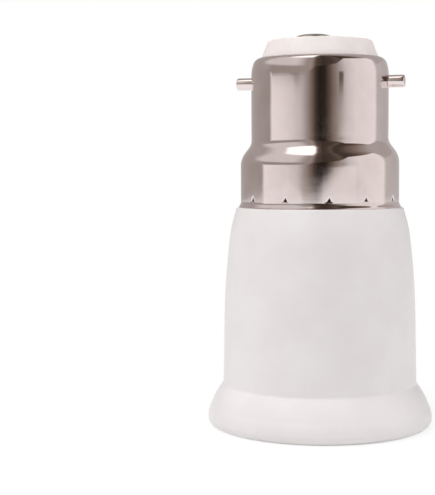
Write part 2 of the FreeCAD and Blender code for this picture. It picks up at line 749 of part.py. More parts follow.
def wound(body, name, corners, cut):
    """Carry a section up the helix, as metal or as a cut."""
    sketch = new_sketch(body, f"{name}_outline", "XZ_Plane")
    draw_loop(sketch, corners)
    kind = "PartDesign::SubtractiveHelix" if cut else "PartDesign::AdditiveHelix"
    feature = body.newObject(kind, name)
    feature.Profile = sketch
    feature.ReferenceAxis = (sketch, ["V_Axis"])
    feature.Mode = "pitch-turns-angle"
    bind(feature, "Pitch", s.thread_pitch)
    bind(feature, "Turns", s.thread_turns)
    feature.LeftHanded = False
    feature.Reversed = False
    return feature


def shell_outline(offset, low, high):
    """Radius against height of one face of the sheet, filled to the axis."""
    collar = s.lip_recess + s.mouth_depth
    seat = s.floor_front - s.seat_length
    return [
        (zero, low),
        (s.mouth_radius + offset, low),
        (s.mouth_radius + offset, collar),
        (s.thread_radius + offset, collar + s.mouth_taper),
        (s.thread_radius + offset, seat - s.seat_taper),
        (s.seat_radius + offset, seat),
        (s.seat_radius + offset, high - s.seat_bend),
        (s.seat_radius + offset - s.seat_bend, high),
        (zero, high),
    ]


def make_shell():
    body = new_body("screw_shell")
    wall = s.shell_wall
    flank = (s.thread_pitch - s.thread_land * 2) / 2
    rise = s.mouth_radius - s.thread_radius
    grow = wall * (root(flank * flank + rise * rise) - flank) / rise
    turned(body, "blank", shell_outline(wall, s.lip_recess, s.floor_front))
    wound(body, "outer_thread", ridge_corners(
        s.thread_radius + wall, s.mouth_radius + wall, grow), cut=False)
    turned(body, "hollow", shell_outline(zero, zero, flange_front), cut=True)
    wound(body, "inner_thread", ridge_corners(
        s.thread_radius, s.mouth_radius, zero), cut=True)
    window = new_sketch(body, "window_outline", "XY_Plane", flange_front)
    side = root(s.window_radius * s.window_radius - s.window_half * s.window_half)
    draw_loop(window, [
        (-side, -s.window_half, "left", s.window_radius),
        (side, -s.window_half),
        (side, s.window_half, "left", s.window_radius),
        (-side, s.window_half),
    ])
    pocketed(body, "window", window, wall)
    holes = new_sketch(body, "flange_hole_outline", "XY_Plane", flange_front)
    draw_circle(holes, zero, s.screw_offset, s.screw_hole)
    draw_circle(holes, zero, -s.screw_offset, s.screw_hole)
    pocketed(body, "flange_holes", holes, wall)
    return body


# Shell screws: two self-cutting screws with pan heads and cross recesses

def make_screw(label, side):
    body = new_body(label)
    head_low = flange_front - s.head_height
    crown_height = s.head_height - s.head_edge
    crown = (s.head_radius * s.head_radius + crown_height * crown_height) / (crown_height * 2)
    shank_end = flange_front + s.screw_length
    turned(body, f"{label}_turning", [
        (zero, head_low),
        (s.head_radius, flange_front - s.head_edge, "left", crown),
        (s.head_radius, flange_front),
        (s.screw_radius, flange_front),
        (s.screw_radius, shank_end - s.screw_point),
        (zero, shank_end),
    ])
    stroke = s.cross_length / 2
    half = s.cross_width / 2
    recess = new_sketch(body, f"{label}_recess_outline", "XY_Plane", head_low)
    draw_loop(recess, [
        (half, -stroke), (half, -half), (stroke, -half), (stroke, half),
        (half, half), (half, stroke), (-half, stroke), (-half, half),
        (-stroke, half), (-stroke, -half), (-half, -half), (-half, -stroke),
    ])
    pocketed(body, f"{label}_recess", recess, s.cross_depth)
    bind(body, "Placement.Base.y", s.screw_offset * side)
    return body


def make_screws():
    pair = doc.addObject("Part::Compound", "shell_screws")
    pair.Label = "shell_screws"
    pair.Links = [make_screw("front_screw", -1), make_screw("back_screw", 1)]
    return pair


# Centre contact: a strip bent along straight runs and arcs, with a pressed dome

def bent_strip(start, heading, moves, wall):
    """Outline of a strip whose middle line goes through runs and bends in the XZ plane.

    A move is ("run", length) or ("bend", inside radius, degrees, positive to the left).
    """
    x, z = start
    angle = math.radians(heading)
    left, right = [], []

    def beside(cx, cz, a, offset):
        return FreeCAD.Vector(cx - math.sin(a) * offset, 0, cz + math.cos(a) * offset)

    for move in moves:
        if move[0] == "run":
            nx = x + math.cos(angle) * move[1]
            nz = z + math.sin(angle) * move[1]
            for edges, offset in ((left, wall / 2), (right, -wall / 2)):
                edges.append(Part.LineSegment(
                    beside(x, z, angle, offset), beside(nx, nz, angle, offset)).toShape())
            x, z = nx, nz
        else:
            turn = math.radians(move[2])
            way = 1 if turn > 0 else -1
            middle = move[1] + wall / 2
            cx = x - math.sin(angle) * middle * way
            cz = z + math.cos(angle) * middle * way
            for edges, offset in ((left, wall / 2), (right, -wall / 2)):
                radius = middle - offset * way
                trio = []
                for share in (0.0, 0.5, 1.0):
                    a = angle + turn * share
                    trio.append(FreeCAD.Vector(
                        cx + math.sin(a) * radius * way, 0, cz - math.cos(a) * radius * way))
                edges.append(Part.Arc(*trio).toShape())
            angle += turn
            x = cx + math.sin(angle) * middle * way
            z = cz - math.cos(angle) * middle * way
    caps = []
    for edge_end in (0, -1):
        ends = [side[edge_end].Vertexes[0 if edge_end == 0 else -1].Point
                for side in (left, right)]
        caps.append(Part.LineSegment(*ends).toShape())
    wire = Part.Wire(Part.__sortEdges__(left + right + caps))
    return Part.Face(wire)


def make_contact():
    wall = s.strip_wall.value
    half = strip_half.value
    down = tab_top.value - bend_centre_z.value
    face = bent_strip(
        (s.strip_root.value, tab_top.value), -90,
        [
            ("run", down),
            ("bend", s.root_bend.value, s.slope_angle.value),
            ("run", s.slope_length.value),
            ("bend", s.crown_bend.value, 90 - s.slope_angle.value + s.rise_angle.value),
            ("run", s.rise_length.value),
            ("bend", s.tip_bend.value, -s.tip_angle.value),
        ], wall)
    face.translate(FreeCAD.Vector(0, -half, 0))
    strip = face.extrude(FreeCAD.Vector(0, 2 * half, 0))
    for side in (-1, 1):
        trim_depth = half - s.tab_width.value / 2
        low_y = s.tab_width.value / 2 if side > 0 else -half
        strip = strip.cut(Part.makeBox(
            wall * 3, trim_depth, s.tab_length.value,
            FreeCAD.Vector(s.strip_root.value - wall * 1.5, low_y, tab_bottom.value)))

    middle = s.root_bend.value + wall / 2
    turn = math.radians(s.slope_angle.value)
    crown_middle = s.crown_bend.value + wall / 2
    crown_x = (bend_centre_x.value - middle * math.cos(turn)
               + s.slope_length.value * math.sin(turn) + crown_middle * math.cos(turn))
    crown_z = (bend_centre_z.value - middle * math.sin(turn)
               - s.slope_length.value * math.cos(turn) + crown_middle * math.sin(turn))
    outer = s.dimple_radius.value
    dome_z = crown_z - crown_middle - wall / 2 - s.dimple_proud.value + outer
    centre = FreeCAD.Vector(crown_x, 0, dome_z)
    inside_crown = Part.makeCylinder(
        crown_middle, 2 * half, FreeCAD.Vector(crown_x, -half, crown_z), FreeCAD.Vector(0, 1, 0))
    dome = Part.makeSphere(outer, centre).cut(inside_crown)
    strip = strip.fuse(dome).cut(Part.makeSphere(outer - wall, centre))
    return coded("centre_contact", strip.removeSplitter())


# Shell terminal: a brass tag, its eye under the flange, its tail up through the floor

def make_terminal():
    def cylinder(name, radius):
        part = doc.addObject("Part::Cylinder", f"tag_{name}")
        bind(part, "Radius", radius)
        bind(part, "Height", s.tag_wall)
        bind(part, "Placement.Base.y", s.screw_offset)
        bind(part, "Placement.Base.z", s.floor_front)
        return part

    arm = doc.addObject("Part::Box", "tag_arm")
    bind(arm, "Length", s.tag_reach)
    bind(arm, "Width", s.tag_width)
    bind(arm, "Height", s.tag_wall)
    bind(arm, "Placement.Base.y", tag_line - s.tag_width / 2)
    bind(arm, "Placement.Base.z", s.floor_front)
    tail = doc.addObject("Part::Box", "tag_tail")
    bind(tail, "Length", s.tag_wall)
    bind(tail, "Width", s.tag_width)
    bind(tail, "Height", tag_top - s.floor_front)
    bind(tail, "Placement.Base.x", s.tag_reach - s.tag_wall)
    bind(tail, "Placement.Base.y", tag_line - s.tag_width / 2)
    bind(tail, "Placement.Base.z", s.floor_front)
    blank = doc.addObject("Part::MultiFuse", "tag_blank")
    blank.Shapes = [cylinder("eye", s.tag_radius), arm, tail]
    blank.Refine = True
    tag = doc.addObject("Part::Cut", "shell_terminal")
    tag.Label = "shell_terminal"
    tag.Base = blank
    tag.Tool = cylinder("hole", s.screw_hole)
    return tag


# Leads: bare conductors soldered at both ends, in insulation that stops short of the solder

def lead_path(points, start_trim, end_trim):
    """Straight runs joined by tangent arcs, with lengths taken off both ends."""
    pts = list(points)
    pts[0] = pts[0] + (pts[1] - pts[0]).normalize() * start_trim
    pts[-1] = pts[-1] + (pts[-2] - pts[-1]).normalize() * end_trim
    edges = []
    at = pts[0]
    for before, corner, after in zip(points, points[1:], points[2:]):
        arriving = (corner - before).normalize()
        leaving = (after - corner).normalize()
        half_turn = arriving.getAngle(leaving) / 2
        shorter = min((corner - before).Length, (after - corner).Length)
        tangent = 0.45 * shorter
        radius = tangent / math.tan(half_turn)
        begin = corner - arriving * tangent
        finish = corner + leaving * tangent
        towards = (leaving - arriving).normalize()
        nearest = corner + towards * (radius / math.cos(half_turn) - radius)
        edges.append(Part.LineSegment(at, begin).toShape())
        edges.append(Part.Arc(begin, nearest, finish).toShape())
        at = finish
    edges.append(Part.LineSegment(at, pts[-1]).toShape())
    return Part.Wire(edges)


def tube(path, radius):
    """A round bar along a path."""
    start = path.Edges[0]
    at = start.valueAt(start.FirstParameter)
    along = start.tangentAt(start.FirstParameter)
    disc = Part.Wire(Part.Circle(at, along, radius).toShape())
    return path.makePipeShell([disc], True, True)


def lead_points(x, y, bottom, side):
    """From a terminal slantwise up the cavity, then straight up into a cap contact."""
    top = wire_top.value
    contact_y = s.contact_offset.value * side
    return [
        FreeCAD.Vector(x, y, bottom),
        FreeCAD.Vector(0, contact_y, top - s.lead_drop.value),
        FreeCAD.Vector(0, contact_y, top),
    ]


def make_lead(kind, points):
    """Conductor and insulation of one lead."""
    path = lead_path(points, 0.0, 0.0)
    wire = tube(path, s.wire_radius.value)
    print(f"{kind} lead: length {path.Length:.1f}, bend {path.Edges[1].Curve.Radius:.1f}")
    bare_low = s.wire_lap.value + s.strip_back.value
    bare_high = (wire_top.value - cap_underside.value
                 + s.eyelet_flange_wall.value + s.eyelet_gap.value)
    covered = lead_path(points, bare_low, bare_high)
    jacket = tube(covered, s.lead_radius.value).cut(wire)
    return coded(f"{kind}_conductor", wire), coded(f"{kind}_insulation", jacket)


def make_blob(label, x, y, z, neighbours):
    """Solder round a terminal's end and the conductor on it, a short bar with tapered ends."""
    radius, end, taper = s.blob_radius.value, s.blob_end.value, s.blob_taper.value
    half = s.blob_height.value / 2
    outline = [(0, -half), (end, -half), (radius, taper - half),
               (radius, half - taper), (end, half), (0, half), (0, -half)]
    section = Part.Face(Part.makePolygon([FreeCAD.Vector(x + r, y, z + h) for r, h in outline]))
    blob = section.revolve(FreeCAD.Vector(x, y, z), FreeCAD.Vector(0, 0, 1), 360)
    for other in neighbours:
        blob = blob.cut(other.Shape)
    return coded(label, blob)


housing = make_housing()
sleeve = make_sleeve()
pin_left = make_pin("bayonet_pin_left", -1)
pin_right = make_pin("bayonet_pin_right", 1)
insulator = make_insulator()
eyelets = [make_eyelet("contact_eyelet_front", -1), make_eyelet("contact_eyelet_back", 1)]
domes = [make_dome("solder_dome_front", -1), make_dome("solder_dome_back", 1)]
shell = make_shell()
screws = make_screws()
terminal = make_terminal()
contact = make_contact()
doc.recompute()

tab_face = tail_back.value + s.strip_wall.value
tag_face = s.tag_reach.value - s.tag_wall.value
live_x = tab_face + s.wire_radius.value
live_z = tab_top.value - s.wire_lap.value
live_wire, live_jacket = make_lead("live", lead_points(live_x, 0.0, live_z, -1))
neutral_x = tag_face - s.wire_radius.value
neutral_z = tag_top.value - s.wire_lap.value
neutral_wire, neutral_jacket = make_lead(
    "neutral", lead_points(neutral_x, tag_line.value, neutral_z, 1))
contact_solder = make_blob(
    "contact_solder", tab_face, 0.0, tab_top.value - s.wire_lap.value / 2,
    [contact, live_wire])
terminal_solder = make_blob(
    "terminal_solder", tag_face, tag_line.value,
    tag_top.value - s.wire_lap.value / 2, [terminal, neutral_wire])
doc.recompute()

NODES = [
    housing, sleeve, pin_left, pin_right, insulator, *eyelets, *domes, shell, screws, contact,
    terminal, live_wire, live_jacket, neutral_wire, neutral_jacket, contact_solder,
    terminal_solder,
]

for thing in doc.Objects:
    if "Invalid" in thing.State or "Error" in thing.State:
        raise RuntimeError(f"{thing.Label} failed: {thing.State}")
os.makedirs("parts", exist_ok=True)
for node in NODES:
    if node.Shape.isNull() or not node.Shape.isValid():
        raise RuntimeError(f"{node.Label} has no sound shape")
for node in NODES:
    node.Shape.exportStep(f"parts/{node.Label}.step")
    box = node.Shape.BoundBox
    print(f"{node.Label:22s} solids {len(node.Shape.Solids)} faces {len(node.Shape.Faces):3d}"
          f" volume {node.Shape.Volume:9.2f}"
          f" x {box.XMin:7.2f} {box.XMax:7.2f} y {box.YMin:7.2f} {box.YMax:7.2f}"
          f" z {box.ZMin:6.2f} {box.ZMax:6.2f}")
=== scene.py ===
# %% [markdown]
# # A lamp socket adapter
#
# The real object turns a two-pin bayonet lamp holder into a screw socket. A white moulding stands
# on its flared rim, a nickel-plated sleeve is crimped on its neck, and a brass screw shell hangs
# inside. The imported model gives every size, so the first cell loads it and keeps its box.

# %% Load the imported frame
import json
import math

import bmesh
import bpy
import numpy as np
from mathutils import Euler, Matrix, Vector

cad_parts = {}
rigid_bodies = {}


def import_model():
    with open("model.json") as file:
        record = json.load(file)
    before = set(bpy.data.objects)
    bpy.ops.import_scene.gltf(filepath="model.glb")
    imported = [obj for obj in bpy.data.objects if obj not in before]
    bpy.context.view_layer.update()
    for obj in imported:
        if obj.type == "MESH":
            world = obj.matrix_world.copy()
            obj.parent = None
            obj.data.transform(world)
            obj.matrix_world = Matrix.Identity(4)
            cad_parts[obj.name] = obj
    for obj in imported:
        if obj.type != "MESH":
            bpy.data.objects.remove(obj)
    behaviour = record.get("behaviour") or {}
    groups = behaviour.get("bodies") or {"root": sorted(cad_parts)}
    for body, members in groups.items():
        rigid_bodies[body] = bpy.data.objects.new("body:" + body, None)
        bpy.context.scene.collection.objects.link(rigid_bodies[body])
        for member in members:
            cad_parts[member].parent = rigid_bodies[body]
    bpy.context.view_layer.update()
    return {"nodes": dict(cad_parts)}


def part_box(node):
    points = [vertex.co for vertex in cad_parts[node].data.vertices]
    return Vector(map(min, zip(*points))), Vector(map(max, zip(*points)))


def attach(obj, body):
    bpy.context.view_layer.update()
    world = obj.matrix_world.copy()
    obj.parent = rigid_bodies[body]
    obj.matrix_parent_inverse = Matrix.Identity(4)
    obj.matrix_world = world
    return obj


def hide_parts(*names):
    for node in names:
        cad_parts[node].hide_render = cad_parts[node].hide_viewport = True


for leftover in list(bpy.data.objects):
    bpy.data.objects.remove(leftover)
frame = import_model()
MM = 0.001
print("nodes in the frame:", len(frame["nodes"]))

# %% [markdown]
# Sizes come from the nodes' boxes where a box can give them. What a box can't show, such as a
# depth or a curve, repeats the construction's own value in millimetres.

# %% Read sizes from the frame
def reach(node, axis, end):
    """One coordinate of a node's box in millimetres: end 0 is the low side, 1 the high side."""
    return float(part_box(node)[end][axis]) / MM


rim_radius = round(reach("housing", 0, 1), 2)
neck_top = round(reach("housing", 2, 1), 2)
ledge = round(reach("bayonet_sleeve", 2, 0), 2)
cap_top = round(reach("cap_insulator", 2, 1), 2)
inner_floor = round(reach("screw_shell", 2, 1), 2)
shell_lip = round(reach("screw_shell", 2, 0), 2)
pin_end = round(reach("bayonet_pin_right", 0, 1), 2)
print("rim", rim_radius, "ledge", ledge, "neck", neck_top, "cap", cap_top, "floor", inner_floor)

# %% [markdown]
# Most of these pieces are turned or drawn, so they start as an outline of radius and height.
# A lathe tool or a press never leaves a sharp corner, so the outline's corners become arcs.
# Bevelling the finished mesh would do it too, but an outline keeps the edge loops clean.

# %% Outlines with rounded corners
def rounded(corners, steps=6):
    """Rows of radius, height and edge radius become a closed outline. Each corner is replaced by
    an arc that touches both its sides: its centre lies on the line that halves the corner."""
    rows = np.array(corners, float)
    spot, edge = rows[:, :2], rows[:, 2]
    back = np.roll(spot, 1, axis=0) - spot
    ahead = np.roll(spot, -1, axis=0) - spot
    back /= np.linalg.norm(back, axis=1, keepdims=True)
    ahead /= np.linalg.norm(ahead, axis=1, keepdims=True)
    half = np.arccos(np.clip((back * ahead).sum(axis=1), -1, 1)) / 2
    half = np.clip(half, 1e-4, math.pi / 2 - 1e-4)
    middle = back + ahead
    middle /= np.maximum(np.linalg.norm(middle, axis=1, keepdims=True), 1e-9)
    centre = spot + middle * (edge / np.sin(half))[:, None]
    start = spot + back * (edge / np.tan(half))[:, None] - centre
    stop = spot + ahead * (edge / np.tan(half))[:, None] - centre
    first = np.arctan2(start[:, 1], start[:, 0])
    turn = np.arctan2(stop[:, 1], stop[:, 0]) - first
    turn = (turn + math.pi) % (2 * math.pi) - math.pi
    angle = first[:, None] + turn[:, None] * np.linspace(0, 1, steps + 1)
    around = np.stack([np.cos(angle), np.sin(angle)], axis=-1)
    points = (centre[:, None, :] + edge[:, None, None] * around).reshape(-1, 2)
    points = np.where((edge.repeat(steps + 1) > 0)[:, None], points, spot.repeat(steps + 1, axis=0))
    apart = np.linalg.norm(points - np.roll(points, 1, axis=0), axis=1) > 1e-5
    return points[apart]


def bow(start, stop, radius, steps=8):
    """Points on the arc of the given radius from start to stop, both ends included. A positive
    radius bulges to the right of the way there."""
    a, b = np.array(start, float), np.array(stop, float)
    way = b - a
    half = np.linalg.norm(way) / 2
    side = np.array([way[1], -way[0]]) / (2 * half)
    centre = (a + b) / 2 - side * math.copysign(math.sqrt(radius ** 2 - half ** 2), radius)
    first = math.atan2(*(a - centre)[::-1])
    turn = math.copysign(2 * math.asin(half / abs(radius)), radius)
    angle = first + turn * np.linspace(0, 1, steps + 1)
    return centre + abs(radius) * np.stack([np.cos(angle), np.sin(angle)], axis=1)


def plain(points):
    """The same points as corner rows without an edge radius."""
    return np.column_stack([points, np.zeros(len(points))])


square = rounded([(0, 0, 0.1), (1, 0, 0.1), (1, 1, 0.1), (0, 1, 0.1)])
print("a square with rounded corners has", len(square), "points")

# %% [markdown]
# Every surface here is a grid: one direction follows the outline, the other goes round. Numpy
# works out the whole grid at once, and neighbouring points become quads.

# %% From grids to a mesh
def ringed(radius, height, turns):
    """Points round the axis: x is radius times cosine, y radius times sine, z the height."""
    x, y = radius * np.cos(turns), radius * np.sin(turns)
    return np.stack(np.broadcast_arrays(x, y, height), axis=-1)


def turned(outline, turns):
    """An outline of radius and height turned round the axis."""
    return ringed(outline[:, :1], outline[:, 1:], turns)


def full_circle(count=256):
    """Evenly spaced angles round the axis."""
    return np.linspace(0, 2 * math.pi, count, endpoint=False)


def skin(name, *grids):
    """Joins grids of points in millimetres into one mesh. Every grid closes on itself both ways,
    points that fall together are merged, and the faces are turned outwards."""
    points, faces, count = [], [], 0
    for grid in grids:
        rows, columns = grid.shape[:2]
        index = np.arange(rows * columns).reshape(rows, columns) + count
        ahead, beside = np.roll(index, -1, 0), np.roll(index, -1, 1)
        corners = [index, ahead, np.roll(ahead, -1, 1), beside]
        faces.append(np.stack(corners, axis=-1).reshape(-1, 4))
        points.append(grid.reshape(-1, 3) * MM)
        count += rows * columns
    mesh = bpy.data.meshes.new(name)
    mesh.from_pydata(np.vstack(points).tolist(), [], np.vstack(faces).tolist())
    return smoothed(mesh)


def shaded(mesh, sharp=38.0):
    """Shades a mesh smooth, apart from edges that turn by more than the sharp angle."""
    mesh.polygons.foreach_set("use_smooth", np.ones(len(mesh.polygons), bool))
    mesh.set_sharp_from_angle(angle=math.radians(sharp))
    return mesh


def smoothed(mesh):
    """Merges doubles, turns the faces outwards and shades them smooth."""
    work = bmesh.new()
    work.from_mesh(mesh)
    bmesh.ops.remove_doubles(work, verts=work.verts, dist=1e-7)
    bmesh.ops.dissolve_degenerate(work, edges=work.edges, dist=1e-8)
    bmesh.ops.recalc_face_normals(work, faces=work.faces)
    work.to_mesh(mesh)
    work.free()
    return shaded(mesh)


def joined(name, *meshes):
    """One mesh from several closed ones."""
    work = bmesh.new()
    for mesh in meshes:
        work.from_mesh(mesh)
    whole = bpy.data.meshes.new(name)
    work.to_mesh(whole)
    work.free()
    return shaded(whole)


def placed(name, data):
    """A new object in the scene."""
    thing = bpy.data.objects.new(name, data)
    bpy.context.scene.collection.objects.link(thing)
    return thing


def piece(name, mesh, body="adapter", stands_for=()):
    """Puts a finished mesh in the scene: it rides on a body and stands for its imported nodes."""
    thing = placed(name, mesh)
    even = thing.modifiers.new("even_shading", "WEIGHTED_NORMAL")
    even.keep_sharp = True
    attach(thing, body)
    if stands_for:
        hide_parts(*stands_for)
    print(name, "has", sum(len(face.vertices) - 2 for face in mesh.polygons), "triangles")
    return thing


# %% [markdown]
# A sheet-metal piece is one surface with a wall. The surface runs through the middle of the
# sheet, and both faces lie half a wall away along its normal. Solidify would do that as well, but
# here the sheet's edges also get their round, as a drawn edge has.

# %% Sheet metal from its middle surface
def sheet(middle, wall, edge_steps=4):
    """Middle surface with a wall: rows follow the section, columns go round. Both faces are the
    middle moved by half the wall along the normal, and half circles close the two edges."""
    along = np.gradient(middle, axis=0)
    round_way = np.roll(middle, -1, axis=1) - np.roll(middle, 1, axis=1)
    normal = np.cross(round_way, along)
    normal /= np.linalg.norm(normal, axis=2, keepdims=True)
    along /= np.linalg.norm(along, axis=2, keepdims=True)
    half = wall / 2
    angle = np.linspace(0, math.pi, edge_steps + 1)[1:-1, None, None]
    far = middle[-1] + half * (normal[-1] * np.cos(angle) + along[-1] * np.sin(angle))
    near = middle[0] - half * (normal[0] * np.cos(angle) + along[0] * np.sin(angle))
    return np.concatenate([middle + half * normal, far, (middle - half * normal)[::-1], near])


def spread(points, step):
    """The same line with points added, so that none lie further apart than the step."""
    gaps = np.linalg.norm(np.diff(points, axis=0), axis=1)
    length = np.concatenate([[0], np.cumsum(gaps)])
    counts = np.ceil(gaps / step).astype(int)
    extra = np.concatenate([np.linspace(a, b, n, endpoint=False) for a, b, n in
                            zip(length[:-1], length[1:], counts)] + [[length[-1]]])
    return np.column_stack([np.interp(extra, length, points[:, k]) for k in range(2)])


def ease(value, low, high):
    """Smooth step from 0 at low to 1 at high: three times the square less twice the cube."""
    share = np.clip((value - low) / (high - low), 0, 1)
    return share * share * (3 - 2 * share)


print("ease half way gives", ease(0.5, 0, 1))

# %% [markdown]
# ## The white housing
#
# The real housing is one thermoset moulding: flared rim, barrel, neck and an inner floor. The
# outline below is the one that the mould is turned from. The floor with its slots can't be
# turned, so it is a flat outline with holes that gets its thickness from a curve's extrude, and
# it sits in the wall. A boolean could cut the slots, but a filled curve keeps clean edges.

# %% Housing outline
bore, neck, cavity = 14.0, 12.35, 10.9
floor_back = inner_floor + 2.5
groove_low, groove_high, groove_floor = ledge + 0.25, ledge + 2.15, neck - 0.65
band, barrel, waist, draw, brow = 17.65, 15.65, 15.46, 14.45, 13.45
housing_corners = np.vstack([
    [(bore + 0.5, 0, 0.12), (rim_radius, 0, 1.34)],
    plain(bow((rim_radius, 1.35), (band, 3.35), 4.0, 7)),
    plain(bow((band, 3.35), (barrel, 6.85), 12, 9))[1:-1],
    [(barrel, 6.85, 0.7), (waist, 16.0, 0)],
    plain(bow((waist, 16.0), (draw, 31.0), 120, 16))[1:],
    plain(bow((draw, 31.0), (brow, ledge - 0.35), 20, 8))[1:-1],
    [(brow, ledge - 0.02, 0.32)],
    [(neck, ledge, 0), (neck, groove_low, 0), (groove_floor, groove_low, 0.2)],
    [(groove_floor, groove_high, 0.2), (neck, groove_high, 0)],
    [(neck, neck_top, 0.5), (cavity, neck_top, 0.2)],
    [(cavity, inner_floor + 1.2, 0), (bore, inner_floor + 1.2, 0), (bore, 0.5, 0.12)],
])
housing_outline = rounded(housing_corners)
print("outline of the housing:", len(housing_outline), "points, widest", housing_outline[:, 0].max())


# %% Flat outlines for the floor
def box_outline(x0, x1, y0, y1, edge=0.3):
    """A rectangle with rounded corners."""
    return rounded([(x0, y0, edge), (x1, y0, edge), (x1, y1, edge), (x0, y1, edge)], 4)


def slot_outline(side, near, far, width, edge=0.45):
    """A curved slot: two arcs about the axis, cut off square at half the width both ways."""
    half = width / 2
    inner, outer = math.sqrt(near ** 2 - half ** 2), math.sqrt(far ** 2 - half ** 2)
    rows = np.vstack([[(inner, -half, edge)], [(outer, -half, edge)],
                      plain(bow((outer, -half), (outer, half), far, 12))[2:-2],
                      [(outer, half, edge)], [(inner, half, edge)],
                      plain(bow((inner, half), (inner, -half), -near, 12))[2:-2]])
    return rounded(rows, 4) * side


def disc(radius, centre=(0.0, 0.0), count=96):
    """A circle."""
    turns = full_circle(count)
    return np.column_stack([centre[0] + radius * np.cos(turns), centre[1] + radius * np.sin(turns)])


def plate(name, outlines, low, high, edge):
    """Flat outline with holes and a thickness: a filled curve, extruded and bevelled, then made
    a mesh and lifted to its height."""
    flat = bpy.data.curves.new(name, "CURVE")
    flat.dimensions, flat.fill_mode = "2D", "BOTH"
    flat.extrude, flat.bevel_depth, flat.offset = ((high - low) / 2 - edge) * MM, edge * MM, -edge * MM
    flat.bevel_resolution = 2
    for outline in outlines:
        line = flat.splines.new("POLY")
        line.points.add(len(outline) - 1)
        rows = np.column_stack([outline * MM, np.zeros(len(outline)), np.ones(len(outline))])
        line.points.foreach_set("co", rows.ravel())
        line.use_cyclic_u = True
    holder = bpy.data.objects.new(name, flat)
    mesh = bpy.data.meshes.new_from_object(holder)
    bpy.data.objects.remove(holder)
    mesh.transform(Matrix.Translation((0, 0, (low + high) / 2 * MM)))
    return smoothed(mesh)


# %% Housing mesh
screw_offset = 9.3
floor_holes = [slot_outline(1, 9.8, 12.1, 5.5), slot_outline(-1, 9.8, 12.1, 5.5),
               box_outline(-5.45, -4.25, -3.45, 3.45, 0.2),
               box_outline(4.38, 5.02, 7.48, 9.12, 0.1),
               disc(1.2, (0, screw_offset), 48), disc(1.2, (0, -screw_offset), 48)]
floor_mesh = plate("floor", [disc(bore + 0.3, count=192)] + floor_holes, inner_floor, floor_back, 0.06)
ribs = [plate("rib", [box_outline(-2.5, 6.2, *sorted((side * 3.5, side * 4.45)), 0.25)],
              inner_floor - 3.5, inner_floor + 0.4, 0.18) for side in (1, -1)]
column_outline = rounded([(1.2, floor_back - 0.5, 0), (2.5, floor_back - 0.5, 0), (2.5, 29.5, 0.3),
                          (0, 29.5, 0), (0, 29.0, 0), (1.2, 29.0, 0)])
column = turned(column_outline, full_circle(48))
columns = [skin("column", column + np.array([0, side * screw_offset, 0])) for side in (1, -1)]
housing_mesh = joined("housing", skin("barrel", turned(housing_outline, full_circle())),
                      floor_mesh, *ribs, *columns)
housing = piece("moulded_housing", housing_mesh, stands_for=["housing"])

# %% [markdown]
# ## The nickel sleeve
#
# The real sleeve is drawn from one sheet, then crimped on the neck with twelve pricks of a
# three-cornered punch. The sheet's middle line runs from the turned-out lower edge over skirt,
# shoulder and throat to the turned-in top. Each prick pushes the sheet inwards where three
# slopes meet, so it is worked out as a depth over angle and height, and no boolean is needed.

# %% Sleeve section
sleeve_wall, skirt, throat, cap = 0.32, 12.72, 10.98, 11.0
skirt_top, lip_start = ledge + 6.9, ledge + 21.3
slope, outer_curve, inner_curve = math.radians(37.0), 3.4, 2.1
shrink, rise = 1 - math.cos(slope), math.sin(slope)
shoulder_spot = (skirt - outer_curve * shrink, skirt_top + outer_curve * rise)
run = (skirt - throat - (outer_curve + inner_curve) * shrink) / rise
under_throat = (shoulder_spot[0] - run * rise, shoulder_spot[1] + run * math.cos(slope))
throat_height = under_throat[1] + inner_curve * rise
lip_base, lip_top = (cap - 0.3, lip_start + 1.62), (cap - 1.24, lip_start + 2.53)
half_wall = sleeve_wall / 2


def inward(points, depth):
    """A line moved sideways to the left of its way by a depth, which is towards the axis here."""
    way = np.gradient(points, axis=0)
    way /= np.linalg.norm(way, axis=1, keepdims=True)
    return points + depth * np.column_stack([-way[:, 1], way[:, 0]])


# From below: the turned-out edge, the skirt, the shoulder, the throat, the cap and its turned-in edge.
outer_line = np.vstack([
    [(skirt + 0.3, ledge + half_wall)],
    bow((skirt + 0.1, ledge + 0.5), (skirt, ledge + 0.91), -0.85, 8),
    [(skirt, ledge + 2.3), (skirt, ledge + 2.6), (skirt, skirt_top)],
    bow((skirt, skirt_top), shoulder_spot, outer_curve, 14)[1:],
    bow(under_throat, (throat, throat_height), -inner_curve, 12),
    [(cap, throat_height + 3.0)],
    bow((cap, lip_start - 0.35), lip_base, 6.6, 12),
    bow(lip_base, lip_top, 1.35, 14)[1:],
])
crimp_height = ledge + 1.35
crimp_step, plain_step = 0.075, 0.6
low_part = outer_line[:, 1] < crimp_height + 1.1
section = inward(np.vstack([spread(outer_line[low_part], crimp_step),
                            spread(outer_line[~low_part], plain_step)]), half_wall)
print("sleeve section:", len(section), "points")


# %% Sleeve mesh with its crimps
def crowded(count, first, thick, thin, span):
    """Angles that crowd round each crimp: thick columns inside the span, thin ones between."""
    pitch = 2 * math.pi / count
    near = np.linspace(-span, span, thick, endpoint=False)
    wide = np.linspace(span, pitch - span, thin, endpoint=False)
    one = np.concatenate([near, wide]) + first
    return (one[None, :] + pitch * np.arange(count)[:, None]).ravel()


def crimp_depth(across, up, size=0.48, tall=0.58, low=0.24, deep=0.5, flank=0.15):
    """Depth of a three-cornered prick, point up: the least distance to its three sides, eased
    from nothing to the full depth over the flank's width."""
    slant = math.hypot(size, tall + low)
    left_side = ((tall - up) * size - across * (tall + low)) / slant
    right_side = ((tall - up) * size + across * (tall + low)) / slant
    inside = np.minimum(up + low, np.minimum(left_side, right_side))
    return deep * ease(inside, -0.02, flank)


